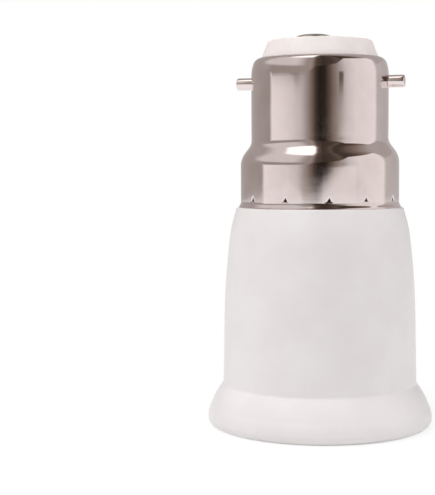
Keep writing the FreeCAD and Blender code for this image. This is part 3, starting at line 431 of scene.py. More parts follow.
def uneven_shoulder(turns, height, front=math.radians(-79), right_rise=0.22, front_drop=0.3):
    """How far the shoulder stands above its mean height: a plane that rises to the right of the
    picture and drops towards its front, faded out below the shoulder and above the throat."""
    plane = right_rise * np.sin(turns - front) - front_drop * np.cos(turns - front)
    return plane * ease(height, 41.2, 43.4) * (1 - ease(height, 45.9, 48.8))


crimps, first_crimp, crimp_span = 12, math.radians(15), math.radians(4.4)
thick_columns, thin_columns = 22, 10
half_pitch = math.pi / crimps
even = crowded(crimps, first_crimp, thick_columns, thin_columns, crimp_span)
from_crimp = (even - first_crimp + half_pitch) % (2 * half_pitch) - half_pitch
wander = np.radians([-0.8, 1.2, 0.4, -1.5, 0.9, -0.3, 1.4, 1.0, 1.7, 2.9, 0.2, 0.0])
own_wander = wander.repeat(thick_columns + thin_columns)
columns_at = even + own_wander * (1 - np.abs(from_crimp) / half_pitch)
push = crimp_depth(from_crimp[None, :] * skirt, section[:, 1:] - crimp_height)
middle = ringed(section[:, :1] - push, section[:, 1:], columns_at)
middle[..., 2] += uneven_shoulder(columns_at, middle[..., 2])
sleeve = piece("drawn_sleeve", skin("drawn_sleeve", sheet(middle, sleeve_wall)),
               stands_for=["bayonet_sleeve"])

# %% [markdown]
# The two bayonet pins are turned studs. Each has a shank through the sleeve, riveted over on the
# inside, and a thicker end outside. They lie along X, so their outline is turned round that axis.

# %% Bayonet pins
pin_height = (reach("bayonet_pin_right", 2, 0) + reach("bayonet_pin_right", 2, 1)) / 2
head_from, head_to, seat = 10.15, 10.62, cap - 0.02
head_radius, shank_radius, pin_radius = 1.28, 0.8, 1.0
pin_outline = rounded([
    (0, head_from, 0), (head_radius, head_from, 0.12), (head_radius, head_to, 0.05),
    (shank_radius, head_to, 0), (shank_radius, seat, 0), (pin_radius, seat, 0.08),
    (pin_radius, pin_end, 0.24), (0, pin_end, 0),
], 5)
stud = turned(pin_outline, full_circle(64))
for side, word in ((1, "right"), (-1, "left")):
    laid = np.stack([stud[..., 2] * side, stud[..., 0], stud[..., 1] + pin_height], axis=-1)
    pin = piece("pin_" + word, skin("pin_" + word, laid), stands_for=["bayonet_pin_" + word])

# %% [markdown]
# ## The white insulator and its contacts
#
# A second moulding closes the sleeve. Only its cone shows. Two eyelets sit in it, and the leads
# are soldered into them: the domes of solder are what the lamp holder's springs press on.

# %% Cap insulator
cone_foot, roof = lip_top[1] - 0.35, cap_top - 4.4
foot_radius, body_radius, inside_radius = 11.5, 10.46, 9.18
cap_outline = rounded([
    (inside_radius, neck_top, 0.15), (foot_radius, neck_top, 0.15), (foot_radius, neck_top + 0.6, 0.3),
    (body_radius, neck_top + 1.9, 0.4), (body_radius, lip_start - 0.4, 0.3), (10.15, lip_start + 1.3, 0.3),
    (9.7, cone_foot - 0.25, 0.1), (9.54, cone_foot, 0.1), (8.3, cap_top, 0.42), (0, cap_top, 0),
    (0, roof, 0), (inside_radius, roof, 0.6),
], 6)
# Two slots, cut in the outer wall along the pins' line, leave room for the pins' heads.
slot_floor, slot_half = 9.9, 1.5
turns = full_circle()
wall_radius, wall_height = cap_outline[:, :1], cap_outline[:, 1:]
outer_wall = (wall_radius > slot_floor) & (wall_height > neck_top + 2.5)
in_slot = np.abs(wall_radius * np.sin(turns)) < slot_half
slotted = np.where(outer_wall & in_slot, np.minimum(wall_radius, slot_floor), wall_radius)
insulator = piece("cap_moulding", skin("cap_moulding", ringed(slotted, wall_height, turns)),
                  stands_for=["cap_insulator"])

# %% Eyelets and solder domes
eyelet_top, eyelet_foot, dome_foot = cap_top + 0.25, cap_top - 4.65, cap_top + 0.2
eyelet_bore, barrel_radius, foot_flange, top_flange = 1.0, 1.3, 1.9, 2.8
contact_place, stem_radius = 4.9, 0.98
eyelet_outline = rounded([
    (eyelet_bore, eyelet_top, 0.1), (eyelet_bore, eyelet_foot, 0.1), (foot_flange, eyelet_foot, 0.1),
    (foot_flange, roof, 0.05), (barrel_radius, roof, 0), (barrel_radius, cap_top, 0),
    (top_flange, cap_top, 0.05), (top_flange, eyelet_top, 0.1),
], 4)
dome_turns = full_circle(96)
dome_radius = reach("solder_dome_front", 0, 1)
dome_height = reach("solder_dome_front", 2, 1) - cap_top - 0.2
share = np.linspace(0, 1, 25)[:, None]
stem_line = np.array([(stem_radius, dome_foot), (stem_radius, cap_top - 2.4), (0, cap_top - 2.55)])
for side, word in ((-1, "front"), (1, "back")):
    place = np.array([0, side * contact_place, 0])
    ring = turned(eyelet_outline, dome_turns) + place
    eyelet = piece("eyelet_" + word, skin("eyelet_" + word, ring),
                   stands_for=["contact_eyelet_" + word])
    # Solder sets a little out of round: two slow waves round its edge, and a lump on its top.
    dents = 0.03 * (1 + np.sin(2 * dome_turns + side)) + 0.02 * (1 + np.sin(3 * dome_turns - side))
    lump = 1 + 0.05 * np.sin(2 * dome_turns + side) * share * (1 - share)
    radius = dome_radius * share * (1 - share * dents)
    height = dome_foot + dome_height * np.sqrt(1 - share ** 2) ** 0.8 * lump / lump.max()
    over = ringed(radius, height, dome_turns)
    dome_grid = np.concatenate([over, turned(stem_line, dome_turns)]) + place
    dome = piece("solder_" + word, skin("solder_" + word, dome_grid), stands_for=["solder_dome_" + word])

# %% [markdown]
# ## The brass screw shell
#
# The real shell is thin brass sheet with its thread rolled in, so the wave shows inside and
# outside alike. Rolling leaves no sharp edge. Its radius is therefore a smooth function of angle
# and height: a cosine wave whose phase climbs one pitch per turn, merged into the plain collar
# at the mouth and faded out before the plain end. Screw modifier and profile would also make a
# helix, but not one that runs out softly into the collar.

# %% Shell surface
shell_wall, groove_radius, crest_radius, seat_radius = 0.35, 13.3, 12.25, 12.55
pitch, thread_from, thread_turns = 3.62, 2.75, 3.25
collar_fade, thread_fade, seat_fade = (3.3, 4.35), (16.2, 16.6), (16.4, 17.0)


def shell_radius(turns, height):
    """Inside radius of the shell. The wave is half of one plus the cosine of the phase, which is
    height over pitch less the turn. Its crest is the small radius, its groove the large one. The
    wave fades out after the last turn, and the collar at the mouth keeps the groove's radius."""
    phase = (height - thread_from) / pitch - turns / (2 * math.pi)
    turn_number = turns / (2 * math.pi) + np.round(phase)
    wave = 0.5 + 0.5 * np.cos(2 * math.pi * phase)
    wave = ease(wave, -0.08, 1.06) * (1 - ease(turn_number, thread_turns - 0.12, thread_turns + 0.1))
    threaded = ease(height, *collar_fade)
    wave = 1 - (1 - wave * threaded) * threaded
    plain_end = crest_radius + (seat_radius - crest_radius) * ease(height, *seat_fade)
    return plain_end + (groove_radius - crest_radius) * wave * (1 - ease(height, *thread_fade))


turns = full_circle(288)
flange_height, bend = inner_floor - shell_wall / 2, 0.7
wall_heights = np.concatenate([np.arange(shell_lip + 0.18, 16.9, 0.16),
                               np.arange(17.0, flange_height - bend, 0.5)])[:, None]
wall_rows = ringed(shell_radius(turns, wall_heights) + shell_wall / 2, wall_heights, turns)
angle = np.linspace(0, math.pi / 2, 8)
bend_centre = (seat_radius + shell_wall / 2 - bend, flange_height - bend)
bend_line = bend_centre + bend * np.column_stack([np.cos(angle), np.sin(angle)])
print("shell:", len(wall_heights), "rows of", len(turns), "points")

# %% Flange with its window
# The window is cut off straight on two sides and round on the others. Its edge is the smaller of
# the chord and the arc, with the corner between them eased by a sum of exponentials.
window_half, window_reach, softness = 6.45, 12.1, 6
chord = window_half / np.maximum(np.abs(np.sin(turns)), 0.2)
window = -np.log(np.exp(-chord * softness) + np.exp(-window_reach * softness)) / softness + 0.02
share = np.linspace(0.08, 1, 12)[:, None]
flange_edge = bend_line[-1, 0]
flange_radius = flange_edge * (1 - share) + np.minimum(window, flange_edge - 0.02) * share
flange_rows = ringed(flange_radius, flange_height, turns)
middle = np.concatenate([wall_rows, turned(bend_line, turns), flange_rows])
shell = piece("rolled_shell", skin("rolled_shell", sheet(middle, shell_wall)),
              stands_for=["screw_shell"])

# %% [markdown]
# Two pan-head screws hold the shell. A punch leaves a cross with sloping sides in each head. The
# head's face is a height over radius and angle, and the cross is taken off it.

# %% Shell screws
screw_low, screw_seat = reach("shell_screws", 2, 0), inner_floor - shell_wall
screw_head, screw_shank, shank_end, screw_tip = 2.5, 1.2, 26.9, 28.05
bar_half, bar_reach, cross_end = 0.36, 1.45, 1.7


def screw(side, twist):
    """One screw, head down. Its face is a low dome less the cross: the distance inside either
    bar of the cross, eased over the punch's slope, and deeper towards the middle."""
    turns = full_circle(160)
    rings = np.concatenate([np.linspace(0, cross_end, 40), np.linspace(1.8, 2.2, 4)])[:, None]
    x, y = rings * np.cos(turns + twist), rings * np.sin(turns + twist)
    cross = np.maximum(*[np.minimum(bar_half - np.abs(a), bar_reach - np.abs(b))
                         for a, b in ((x, y), (y, x))])
    deep = ease(cross, -0.04, 0.2) * (0.75 + 0.35 * (1 - rings / cross_end).clip(0, 1))
    face = screw_low + 0.42 * (rings / screw_head) ** 2.4
    head = ringed(rings, face + deep, turns)
    rest = rounded([
        (2.2, screw_low + 0.31, 0), (screw_head, screw_low + 0.62, 0.25), (screw_head, screw_seat, 0.08),
        (screw_shank, screw_seat, 0), (screw_shank, shank_end, 0), (0, screw_tip, 0), (0, 27.0, 0),
    ], 5)
    return np.concatenate([head, turned(rest[:-1], turns)]) + np.array([0, side * screw_offset, 0])


pair = [screw(1, math.radians(20)), screw(-1, math.radians(-8))]
screws = piece("pan_screws", skin("pan_screws", *pair), stands_for=["shell_screws"])

# %% [markdown]
# ## The centre contact
#
# A strip of spring bronze stands in the floor, is bent under it, dips to a rounded crown with a
# pressed dimple and turns up at its free end. It is the one piece that moves: a lamp presses the
# crown towards the floor. A section carried along the bent line makes it, and the dimple is a
# ball pressed through both faces.

# %% Centre contact
def bent_line(start, heading, moves, step=0.16):
    """A line of runs and bends. Heading is the angle from straight down towards +X. Each move is
    a run's length, or a bend's radius and turn. Returns points, headings and the length."""
    spot, points, headings = np.array(start, float), [], []
    for move in moves:
        if len(move) == 1:
            count = max(2, int(move[0] / step))
            share = np.linspace(0, move[0], count, endpoint=False)
            way = np.array([math.sin(heading), -math.cos(heading)])
            points.append(spot + share[:, None] * way)
            headings.append(np.full(count, heading))
            spot = spot + move[0] * way
        else:
            radius, turn = move[0], math.radians(move[1])
            count = max(6, int(abs(turn) * radius / step))
            side = math.copysign(1, turn)
            centre = spot + side * radius * np.array([math.cos(heading), math.sin(heading)])
            angle = heading + np.linspace(0, turn, count + 1)
            arc = centre - side * radius * np.column_stack([np.cos(angle), np.sin(angle)])
            points.append(arc[:-1])
            headings.append(angle[:-1])
            spot, heading = arc[-1], angle[-1]
    points.append(spot[None, :])
    headings.append(np.array([heading]))
    points, headings = np.vstack(points), np.concatenate(headings)
    length = np.concatenate([[0], np.cumsum(np.linalg.norm(np.diff(points, axis=0), axis=1))])
    return points, headings, length


# Run through the floor, bend, run, crown, run, and the free end's bend the other way.
moves = [(6.4,), (0.6, 49), (3.7,), (2.2, 68), (3.0,), (1.2, -32)]
line, heads, length = bent_line((-4.7, 26.8), 0.0, moves)
print("strip:", round(length[-1], 1), "mm long")

# %% Contact's section and dimple
# Across the strip the section is flat but for its rounded edges, as a share of the half width.
strip_half, tab_half, tab_from, half_thick = 3.2, 1.2, 24.1, 0.2
flat = np.linspace(-1, 1, 61)[1:-1] * 0.955
edge_angle = np.linspace(math.pi / 2, -math.pi / 2, 5)
bulge = 0.045 * np.cos(edge_angle)
across = np.concatenate([flat, 0.955 + bulge, flat[::-1], -0.955 - bulge[::-1]])
face = np.full(len(flat), half_thick)
edge = half_thick * np.sin(edge_angle)
lift = np.concatenate([face, edge, -face, -edge])
y = across[None, :] * np.where(line[:, 1] > tab_from, tab_half, strip_half)[:, None]
# The dimple is the part of a ball that stands over the strip, with its edge eased.
ball_radius, dimple = 1.8, 0.46
from_crown = (length - length[line[:, 1].argmin()])[:, None]
off_centre = from_crown ** 2 + y ** 2
ball = np.sqrt(np.maximum(ball_radius ** 2 - off_centre, 0)) - (ball_radius - dimple)
pressed = 0.5 * (ball + np.sqrt(ball ** 2 + 0.0009)) - 0.004
pressed = np.where(off_centre < ball_radius ** 2, np.maximum(pressed, 0), 0)
outward = np.column_stack([-np.cos(heads), -np.sin(heads)])
shift = lift[None, :] + pressed
strip_grid = np.stack([line[:, :1] + outward[:, :1] * shift, y,
                       line[:, 1:] + outward[:, 1:] * shift], axis=-1)
caps = strip_grid[[0, -1]].mean(axis=1, keepdims=True) + 0 * strip_grid[[0, -1]]
strip_grid = np.concatenate([caps[:1], strip_grid, caps[1:]])
print("crown at", np.round(strip_grid[..., 2].min(), 2), "mm")
contact = piece("spring_contact", skin("spring_contact", strip_grid), "contact", ["centre_contact"])

# %% [markdown]
# ## Finishes
#
# Two effects come back in several materials, so each is a node group. The first is the skin of a
# moulding: a fine grain from the mould and slow clouds. The second is the skin of plated or
# rolled metal: a slow waviness, smudges and fine drawing lines.

# %% Node groups
def new_group(name, inputs, outputs):
    """An empty node group with float inputs and outputs, after its position vector."""
    group = bpy.data.node_groups.new(name, "ShaderNodeTree")
    group.interface.new_socket("Position", in_out="INPUT", socket_type="NodeSocketVector")
    for title, value in inputs:
        socket = group.interface.new_socket(title, in_out="INPUT", socket_type="NodeSocketFloat")
        socket.default_value = value
    for title in outputs:
        group.interface.new_socket(title, in_out="OUTPUT", socket_type="NodeSocketFloat")
    return group, group.nodes.new("NodeGroupInput"), group.nodes.new("NodeGroupOutput")


def noise(tree, position, scale, detail=2.0, roughness=0.5):
    """A noise node; its scale is in features per metre or comes from a socket."""
    node = tree.nodes.new("ShaderNodeTexNoise")
    node.inputs["Detail"].default_value, node.inputs["Roughness"].default_value = detail, roughness
    tree.links.new(position, node.inputs["Vector"])
    if isinstance(scale, float):
        node.inputs["Scale"].default_value = scale
    else:
        tree.links.new(scale, node.inputs["Scale"])
    return node.outputs["Fac"]


def maths(tree, kind, first, second):
    """A Math node on sockets or numbers."""
    node = tree.nodes.new("ShaderNodeMath")
    node.operation = kind
    for socket, value in zip(node.inputs, (first, second)):
        if isinstance(value, (int, float)):
            socket.default_value = value
        else:
            tree.links.new(value, socket)
    return node.outputs[0]


moulded, source, sink = new_group("moulded_skin", [("Grain", 5200.0), ("Clouds", 140.0)],
                                  ["Height", "Cloud"])
grain = noise(moulded, source.outputs["Position"], source.outputs["Grain"], 3.0, 0.6)
cloud = noise(moulded, source.outputs["Position"], source.outputs["Clouds"], 3.0)
height = maths(moulded, "ADD", maths(moulded, "MULTIPLY", grain, 0.35), cloud)
moulded.links.new(height, sink.inputs["Height"])
moulded.links.new(cloud, sink.inputs["Cloud"])

metal, source, sink = new_group("metal_skin", [("Waves", 70.0), ("Lines", 6000.0)],
                                ["Wave", "Smudge", "Line"])
place = source.outputs["Position"]
metal.links.new(noise(metal, place, source.outputs["Waves"], 1.0), sink.inputs["Wave"])
metal.links.new(noise(metal, place, 260.0, 4.0, 0.62), sink.inputs["Smudge"])
# The drawing lines run round the piece, since this noise hardly changes along X and Y.
squash = metal.nodes.new("ShaderNodeVectorMath")
squash.operation = "MULTIPLY"
squash.inputs[1].default_value = (0.012, 0.012, 1.0)
metal.links.new(place, squash.inputs[0])
metal.links.new(noise(metal, squash.outputs[0], source.outputs["Lines"], 2.0), sink.inputs["Line"])
print("node groups:", [g.name for g in bpy.data.node_groups])

# %% [markdown]
# Each material puts a group's masks on the shader: clouds tint the colour a little, smudges
# change the roughness, and height goes through a Bump node. Constants stay on the shader.

# %% Material helpers
def linear(colour):
    """A display colour from 0 to 1 as the linear colour that the shader wants."""
    colour = np.array(colour, float)
    return (*np.where(colour <= 0.04045, colour / 12.92, ((colour + 0.055) / 1.055) ** 2.4), 1.0)


def mapped(tree, value, start, stop, low, high):
    """A Map Range node that takes start and stop to low and high, and holds those beyond."""
    node = tree.nodes.new("ShaderNodeMapRange")
    node.inputs["From Min"].default_value, node.inputs["From Max"].default_value = start, stop
    node.inputs["To Min"].default_value, node.inputs["To Max"].default_value = low, high
    tree.links.new(value, node.inputs["Value"])
    return node


def new_material(name, group, mask_name, low, high, rough, span, settings, **constants):
    """A material with one Principled shader over a skin group. One of the group's masks takes
    the display colour from low to high over its span, and the roughness between two values."""
    made = bpy.data.materials.new(name)
    made.use_nodes = True
    tree = made.node_tree
    shader = tree.nodes["Principled BSDF"]
    for title, value in constants.items():
        shader.inputs[title].default_value = value
    place = tree.nodes.new("ShaderNodeTexCoord")
    skin_node = tree.nodes.new("ShaderNodeGroup")
    skin_node.node_tree = group
    tree.links.new(place.outputs["Object"], skin_node.inputs["Position"])
    for title, value in settings.items():
        skin_node.inputs[title].default_value = value
    mask = skin_node.outputs[mask_name]
    ramp = tree.nodes.new("ShaderNodeValToRGB")
    for end, colour in enumerate((low, high)):
        ramp.color_ramp.elements[end].position = span[end]
        ramp.color_ramp.elements[end].color = linear(colour)
    tree.links.new(mask, ramp.inputs["Fac"])
    tree.links.new(ramp.outputs["Color"], shader.inputs["Base Color"])
    tree.links.new(mapped(tree, mask, 0.3, 0.7, *rough).outputs["Result"], shader.inputs["Roughness"])
    return made, shader, skin_node


def bump(made, height, distance, shader, strength=1.0, under=None):
    """A Bump node on the shader's normal, with its distance in metres."""
    tree = made.node_tree
    node = tree.nodes.new("ShaderNodeBump")
    node.inputs["Distance"].default_value, node.inputs["Strength"].default_value = distance, strength
    tree.links.new(height, node.inputs["Height"])
    if under is not None:
        tree.links.new(under, node.inputs["Normal"])
    tree.links.new(node.outputs["Normal"], shader.inputs["Normal"])
    return node.outputs["Normal"]


def wear(thing, *materials):
    """Gives a piece its materials, in slot order."""
    thing.data.materials.clear()
    for material in materials:
        thing.data.materials.append(material)


print("white as the shader wants it:", np.round(linear((0.88, 0.86, 0.86)), 3))


# %% Mouldings and sleeving
def moulded_material(name, low, high, rough, grain, clouds, ior=1.5, depth=0.00001, strength=0.6):
    """Plastic or rubber whose colour and roughness follow its clouds, over the mould's grain."""
    made, shader, skin_node = new_material(name, moulded, "Cloud", low, high, rough, (0.35, 0.65),
                                           {"Grain": grain, "Clouds": clouds}, IOR=ior)
    bump(made, skin_node.outputs["Height"], depth, shader, strength)
    return made


white = moulded_material("white_moulding", (0.868, 0.848, 0.846), (0.885, 0.868, 0.866), (0.36, 0.44),
                         grain=5200.0, clouds=130.0)
matt = moulded_material("matt_moulding", (0.885, 0.85, 0.835), (0.91, 0.88, 0.87), (0.5, 0.6),
                        grain=4000.0, clouds=240.0, depth=0.000012)
wear(housing, white)
wear(insulator, matt)

# Silicone sleeving is matt and slightly cloudy.
silicone = {"rough": (0.5, 0.62), "grain": 3000.0, "clouds": 300.0, "ior": 1.45, "strength": 0.5}
brown = moulded_material("brown_sleeving", (0.29, 0.16, 0.10), (0.36, 0.21, 0.13), **silicone)
blue = moulded_material("blue_sleeving", (0.11, 0.24, 0.50), (0.16, 0.31, 0.58), **silicone)
print("materials so far:", len(bpy.data.materials))


# %% Metals
def metal_material(name, low, high, rough, waves, wave_depth=0.00002, line_depth=0.0000004):
    """Metal whose colour and roughness follow its smudges, over waves and drawing lines."""
    made, shader, skin_node = new_material(name, metal, "Smudge", low, high, rough, (0.3, 0.7),
                                           {"Waves": waves}, Metallic=1.0)
    first = bump(made, skin_node.outputs["Wave"], wave_depth, shader)
    bump(made, skin_node.outputs["Line"], line_depth, shader, 1.0, first)
    return made


def paint_crimp_shade(material):
    """Paints shade into the pricks: the metal's colour goes dark where it lies inside the skirt's
    radius, in the 3 mm above the ledge."""
    tree = material.node_tree
    shader = tree.nodes["Principled BSDF"]
    split = tree.nodes.new("ShaderNodeSeparateXYZ")
    tree.links.new(tree.nodes.new("ShaderNodeTexCoord").outputs["Object"], split.inputs[0])
    squares = [maths(tree, "MULTIPLY", split.outputs[axis], split.outputs[axis]) for axis in "XY"]
    radius = maths(tree, "SQRT", maths(tree, "ADD", *squares), 0.0)
    # Painted shade: the colour falls to 0.14 of itself inside the pricks.
    crimp_shade_share = mapped(tree, radius, (skirt - 0.13) * MM, (skirt - 0.012) * MM, 0.14, 1.0)
    above = maths(tree, "GREATER_THAN", split.outputs["Z"], (ledge + 3.0) * MM)
    dim = tree.nodes.new("ShaderNodeVectorMath")
    dim.operation = "SCALE"
    tree.links.new(shader.inputs["Base Color"].links[0].from_socket, dim.inputs[0])
    tree.links.new(maths(tree, "MAXIMUM", crimp_shade_share.outputs["Result"], above), dim.inputs["Scale"])
    tree.links.new(dim.outputs[0], shader.inputs["Base Color"])


nickel = metal_material("nickel_plate", (0.885, 0.842, 0.832), (0.92, 0.878, 0.868), (0.05, 0.1),
                        waves=110.0, wave_depth=0.00003)
brass = metal_material("rolled_brass", (0.80, 0.62, 0.30), (0.93, 0.77, 0.44), (0.16, 0.28), waves=160.0)
bronze = metal_material("spring_bronze", (0.66, 0.42, 0.28), (0.86, 0.62, 0.44), (0.22, 0.38), waves=300.0)
zinc = metal_material("zinc_plate", (0.74, 0.74, 0.72), (0.87, 0.87, 0.86), (0.22, 0.36), waves=400.0)
tinned = metal_material("tinned_brass", (0.78, 0.75, 0.68), (0.86, 0.83, 0.77), (0.24, 0.36), waves=400.0)
tin = metal_material("tin_solder", (0.66, 0.67, 0.69), (0.80, 0.80, 0.81), (0.3, 0.5), waves=900.0,
                     wave_depth=0.00008)
copper = metal_material("bare_copper", (0.72, 0.42, 0.29), (0.86, 0.55, 0.40), (0.22, 0.34), waves=500.0)
# The crimps get painted shade in the nickel's colour.
paint_crimp_shade(nickel)
wear(sleeve, nickel)
for word in ("left", "right"):
    wear(bpy.data.objects["pin_" + word], nickel)
for word in ("front", "back"):
    wear(bpy.data.objects["eyelet_" + word], tinned)
    wear(bpy.data.objects["solder_" + word], tin)
wear(shell, brass)
wear(screws, zinc)
wear(contact, bronze)

# The leads, the solder on them and the shell's terminal stay as packed.
for node, material in (("shell_terminal", tinned), ("contact_solder", tin), ("terminal_solder", tin),
                       ("live_conductor", copper), ("neutral_conductor", copper),
                       ("live_insulation", brown), ("neutral_insulation", blue)):
    wear(frame["nodes"][node], material)
print("materials:", len(bpy.data.materials))

# %% [markdown]
# ## The studio
#
# The photograph was taken on white with a camera close by, slightly above the object. Polished
# nickel shows its surroundings, so the studio matters as much as the metal: a bright side on the
# left and right, a narrow dark band where the camera stands, and grey behind. A dome that only
# reflections see carries those shades. Lamps could do it too, but would also change the plastic.

# %% Camera
# Its place and aim were fitted to the curves of the rim and of the sleeve's edges in the photo.
azimuth, distance, rise = math.radians(11.0), 0.20199, 0.04218
pitch_down, yaw, roll = math.radians(3.806), math.radians(4.701), math.radians(-0.252)
eye = bpy.data.cameras.new("eye")
eye.lens, eye.sensor_width, eye.sensor_fit = 90.46, 36.0, "AUTO"
eye.clip_start, eye.clip_end = 0.01, 20.0
camera = placed("camera", eye)
camera.location = (distance * math.sin(azimuth), -distance * math.cos(azimuth), rise)
turn = (Euler((0, 0, azimuth + yaw)).to_matrix() @ Euler((math.pi / 2 - pitch_down, 0, 0)).to_matrix()
        @ Euler((0, 0, roll)).to_matrix())
camera.rotation_euler = turn.to_euler()
bpy.context.scene.camera = camera
bpy.context.scene.view_settings.view_transform = "Standard"
print("camera at", [round(v, 4) for v in camera.location])


# %% World
def seen_mask(tree):
    """1 on a ray that shows a thing, straight or by a mirror or glass, and 0 on one that lights."""
    path = tree.nodes.new("ShaderNodeLightPath")
    total = maths(tree, "ADD", path.outputs["Is Camera Ray"], path.outputs["Is Glossy Ray"])
    total = maths(tree, "ADD", total, path.outputs["Is Transmission Ray"])
    return maths(tree, "MINIMUM", total, 1.0)


world = bpy.data.worlds.new("studio")
world.use_nodes = True
bpy.context.scene.world = world
tree = world.node_tree
sky = tree.nodes["Background"]
sky.inputs["Color"].default_value = (1, 1, 1, 1)
ambient = 0.35
strength = maths(tree, "ADD", maths(tree, "MULTIPLY", seen_mask(tree), 1 - ambient), ambient)
tree.links.new(strength, sky.inputs["Strength"])
print("sky: 1 where it is seen,", ambient, "as light")


# %% Table
def bare_material(name):
    """A material that has only its output node yet."""
    made = bpy.data.materials.new(name)
    made.use_nodes = True
    made.node_tree.nodes.remove(made.node_tree.nodes["Principled BSDF"])
    return made


# White paper glows where it is seen, a little less close to the object so that its shade shows
# there. It takes light as plain paper does, and it is clear from below.
floor_data = bpy.data.meshes.new("table")
floor_data.from_pydata([(-4, -4, 0), (4, -4, 0), (4, 4, 0), (-4, 4, 0)], [], [(0, 1, 2, 3)])
table = placed("table", floor_data)
paper = bare_material("white_paper")
tree = paper.node_tree
diffuse = tree.nodes.new("ShaderNodeBsdfDiffuse")
diffuse.inputs["Color"].default_value = (0.95, 0.95, 0.95, 1)
glow = tree.nodes.new("ShaderNodeEmission")
clear = tree.nodes.new("ShaderNodeBsdfTransparent")
shows = tree.nodes.new("ShaderNodeMixShader")
from_below = tree.nodes.new("ShaderNodeMixShader")
away = tree.nodes.new("ShaderNodeVectorMath")
away.operation = "LENGTH"
tree.links.new(tree.nodes.new("ShaderNodeTexCoord").outputs["Object"], away.inputs[0])
fade = mapped(tree, away.outputs["Value"], 0.03, 0.16, 0.85, 1.0)
fade.interpolation_type = "SMOOTHSTEP"
seen = maths(tree, "MULTIPLY", seen_mask(tree), fade.outputs["Result"])
below = tree.nodes.new("ShaderNodeNewGeometry").outputs["Backfacing"]
for mix, share, first, second in ((shows, seen, diffuse, glow), (from_below, below, shows, clear)):
    for socket, value in zip(mix.inputs, (share, first.outputs[0], second.outputs[0])):
        tree.links.new(value, socket)
tree.links.new(from_below.outputs[0], tree.nodes["Material Output"].inputs["Surface"])
table.data.materials.append(paper)
print("table:", len(tree.nodes), "nodes")

# %% Shades of the studio
# Pairs of turn and shade below and above the cards' tops, then turn and climb of those tops and
# of the far table's edge. Turn is counted from the camera, positive to the right of the picture.
low_band = np.array([
    (-180, 0.55), (-150, 0.45), (-110, 0.4), (-91, 0.38), (-86, 0.96), (-70, 0.92), (-46, 0.8), (-32, 0.66),
    (-24, 0.46), (-14, 0.22), (-7, 0.07), (0, 0.02), (9, 0.03), (16, 0.11), (27, 0.3), (36, 0.48), (46, 0.7),
    (60, 0.86), (104, 0.94), (110, 0.58), (140, 0.52), (180, 0.55)])
high_band = np.array([
    (-180, 0.45), (-100, 0.42), (-88, 0.36), (-14, 0.36), (-6, 0.1), (4, 0.05), (22, 0.07), (32, 0.12),
    (44, 0.05), (62, 0.08), (84, 0.2), (112, 0.46), (180, 0.45)])
card_top = np.array([
    (-92, 14), (-86, 6.9), (-20, 6.7), (-8, 20), (28, 27), (48, 42), (104, 42), (112, 20)])
table_edge = np.array([
    (-48, 1.3), (-30, 0.7), (-20, -0.2), (-14, -0.8), (-5, -0.2), (6, 0.9), (17, 1.45), (44, 2.7)])


def inside_of(value, middle, half, soft):
    """1 within half a width of the middle, falling to 0 over the soft edge."""
    return 1 - ease(np.abs(value - middle), half, half + soft)


def covered(level, mask, shade):
    """The level with a shade laid over it where the mask is 1."""
    return level * (1 - mask) + shade * mask


def shade_of(turn, climb):
    """How bright the studio is at a turn and a climb in degrees. Cards stand round the object up
    to their tops, with a dark spot in two of them. The far table shows below them. A grey strip
    lies above them at the left, and a window hangs over it."""
    low, high = (np.interp(turn, band[:, 0], band[:, 1]) + 0 * climb for band in (low_band, high_band))
    top, edge = (np.interp(turn, line[:, 0], line[:, 1]) for line in (card_top, table_edge))
    level = covered(low, ease(climb, top - 0.35, top + 0.35), high)
    right_spot = inside_of(turn, 35.5, 3, 2) * inside_of(climb, 6.95, 0.55, 0.4)
    slanted = turn + 16 * (climb - 7)
    left_spot = inside_of(slanted, -43.5, 3.5, 3) * inside_of(climb, 7.0, 0.45, 0.3)
    level = covered(covered(level, right_spot, 0.03), left_spot, 0.08)
    level = covered(level, inside_of(turn, -72, 28, 26) * inside_of(climb, 42, 16, 5), 0.72)
    far_table = (1 - ease(climb, edge - 0.25, edge + 0.25)) * inside_of(turn, 0, 50, 10)
    level = covered(level, far_table, 0.88)
    window = inside_of(turn, -52, 32, 9) * inside_of(climb, 75, 14, 4)
    return covered(level, window, 1.5)


def direction(turn, climb):
    """Unit vector at a turn and a climb in degrees, seen from the object."""
    way, up = azimuth + np.radians(turn), np.radians(climb)
    return np.stack([np.cos(up) * np.sin(way), -np.cos(up) * np.cos(way),
                     np.sin(up) + 0 * way], axis=-1)


print("shade of the dark band ahead:", round(float(shade_of(0.0, 4.0)), 3))

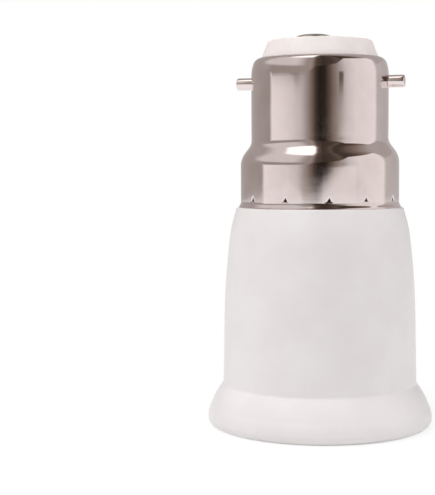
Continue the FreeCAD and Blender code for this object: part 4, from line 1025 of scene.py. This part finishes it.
# %% Reflection dome
turn_row = np.linspace(-180, 180, 721)[:-1]
climb_row = np.concatenate([np.arange(-3, 0, 0.5), np.arange(0, 9, 0.12), np.linspace(9, 90, 90)])
level = shade_of(turn_row[None, :], climb_row[:, None])
studio_radius = 1.2
dome_points = studio_radius * direction(turn_row[None, :], climb_row[:, None])
rows, columns = level.shape
index = np.arange(rows * columns).reshape(rows, columns)
ahead = np.roll(index, -1, 1)
dome_faces = np.stack([index[:-1], ahead[:-1], ahead[1:], index[1:]], axis=-1).reshape(-1, 4)
dome_mesh = bpy.data.meshes.new("studio_dome")
dome_mesh.from_pydata(dome_points.reshape(-1, 3).tolist(), [], dome_faces.tolist())
paint = dome_mesh.color_attributes.new("shade", "FLOAT_COLOR", "POINT")
# Dark shades are brownish, pale ones nearly white.
pale = ease(level, 0.0, 0.6).reshape(-1, 1)
tint = covered(np.array([1.0, 0.74, 0.58, 1.0]), pale, np.array([1.0, 0.955, 0.945, 1.0]))
paint.data.foreach_set("color", (level.reshape(-1, 1) * tint).ravel())
studio = placed("studio_dome", dome_mesh)
studio.visible_camera = studio.visible_diffuse = studio.visible_shadow = False
studio.visible_transmission = studio.visible_volume_scatter = False
cards = bare_material("studio_cards")
tree = cards.node_tree
glow = tree.nodes.new("ShaderNodeEmission")
painted = tree.nodes.new("ShaderNodeAttribute")
painted.attribute_name = "shade"
tree.links.new(painted.outputs["Color"], glow.inputs["Color"])
tree.links.new(glow.outputs[0], tree.nodes["Material Output"].inputs["Surface"])
dome_mesh.materials.append(cards)
print("studio dome:", len(dome_faces), "faces")


# %% Lamps
def soft_lamp(name, turn, climb, size, power):
    """A square area lamp, one metre away, that looks at the middle of the object. Turn and climb
    are in degrees, as in the studio's shades."""
    light = bpy.data.lights.new(name, "AREA")
    light.energy, light.size = power, size
    lamp = placed(name, light)
    spot = Vector(direction(turn, climb))
    lamp.location = spot + Vector((0, 0, 0.03))
    lamp.rotation_euler = spot.to_track_quat("Z", "Y").to_euler()
    lamp.visible_glossy = False
    print(name, "shines with", power, "W")


soft_lamp("right_softbox", turn=88, climb=12, size=0.7, power=3.1)
soft_lamp("left_softbox", turn=-60, climb=56, size=0.7, power=5.2)
soft_lamp("top_softbox", turn=-20, climb=76, size=0.8, power=4.9)
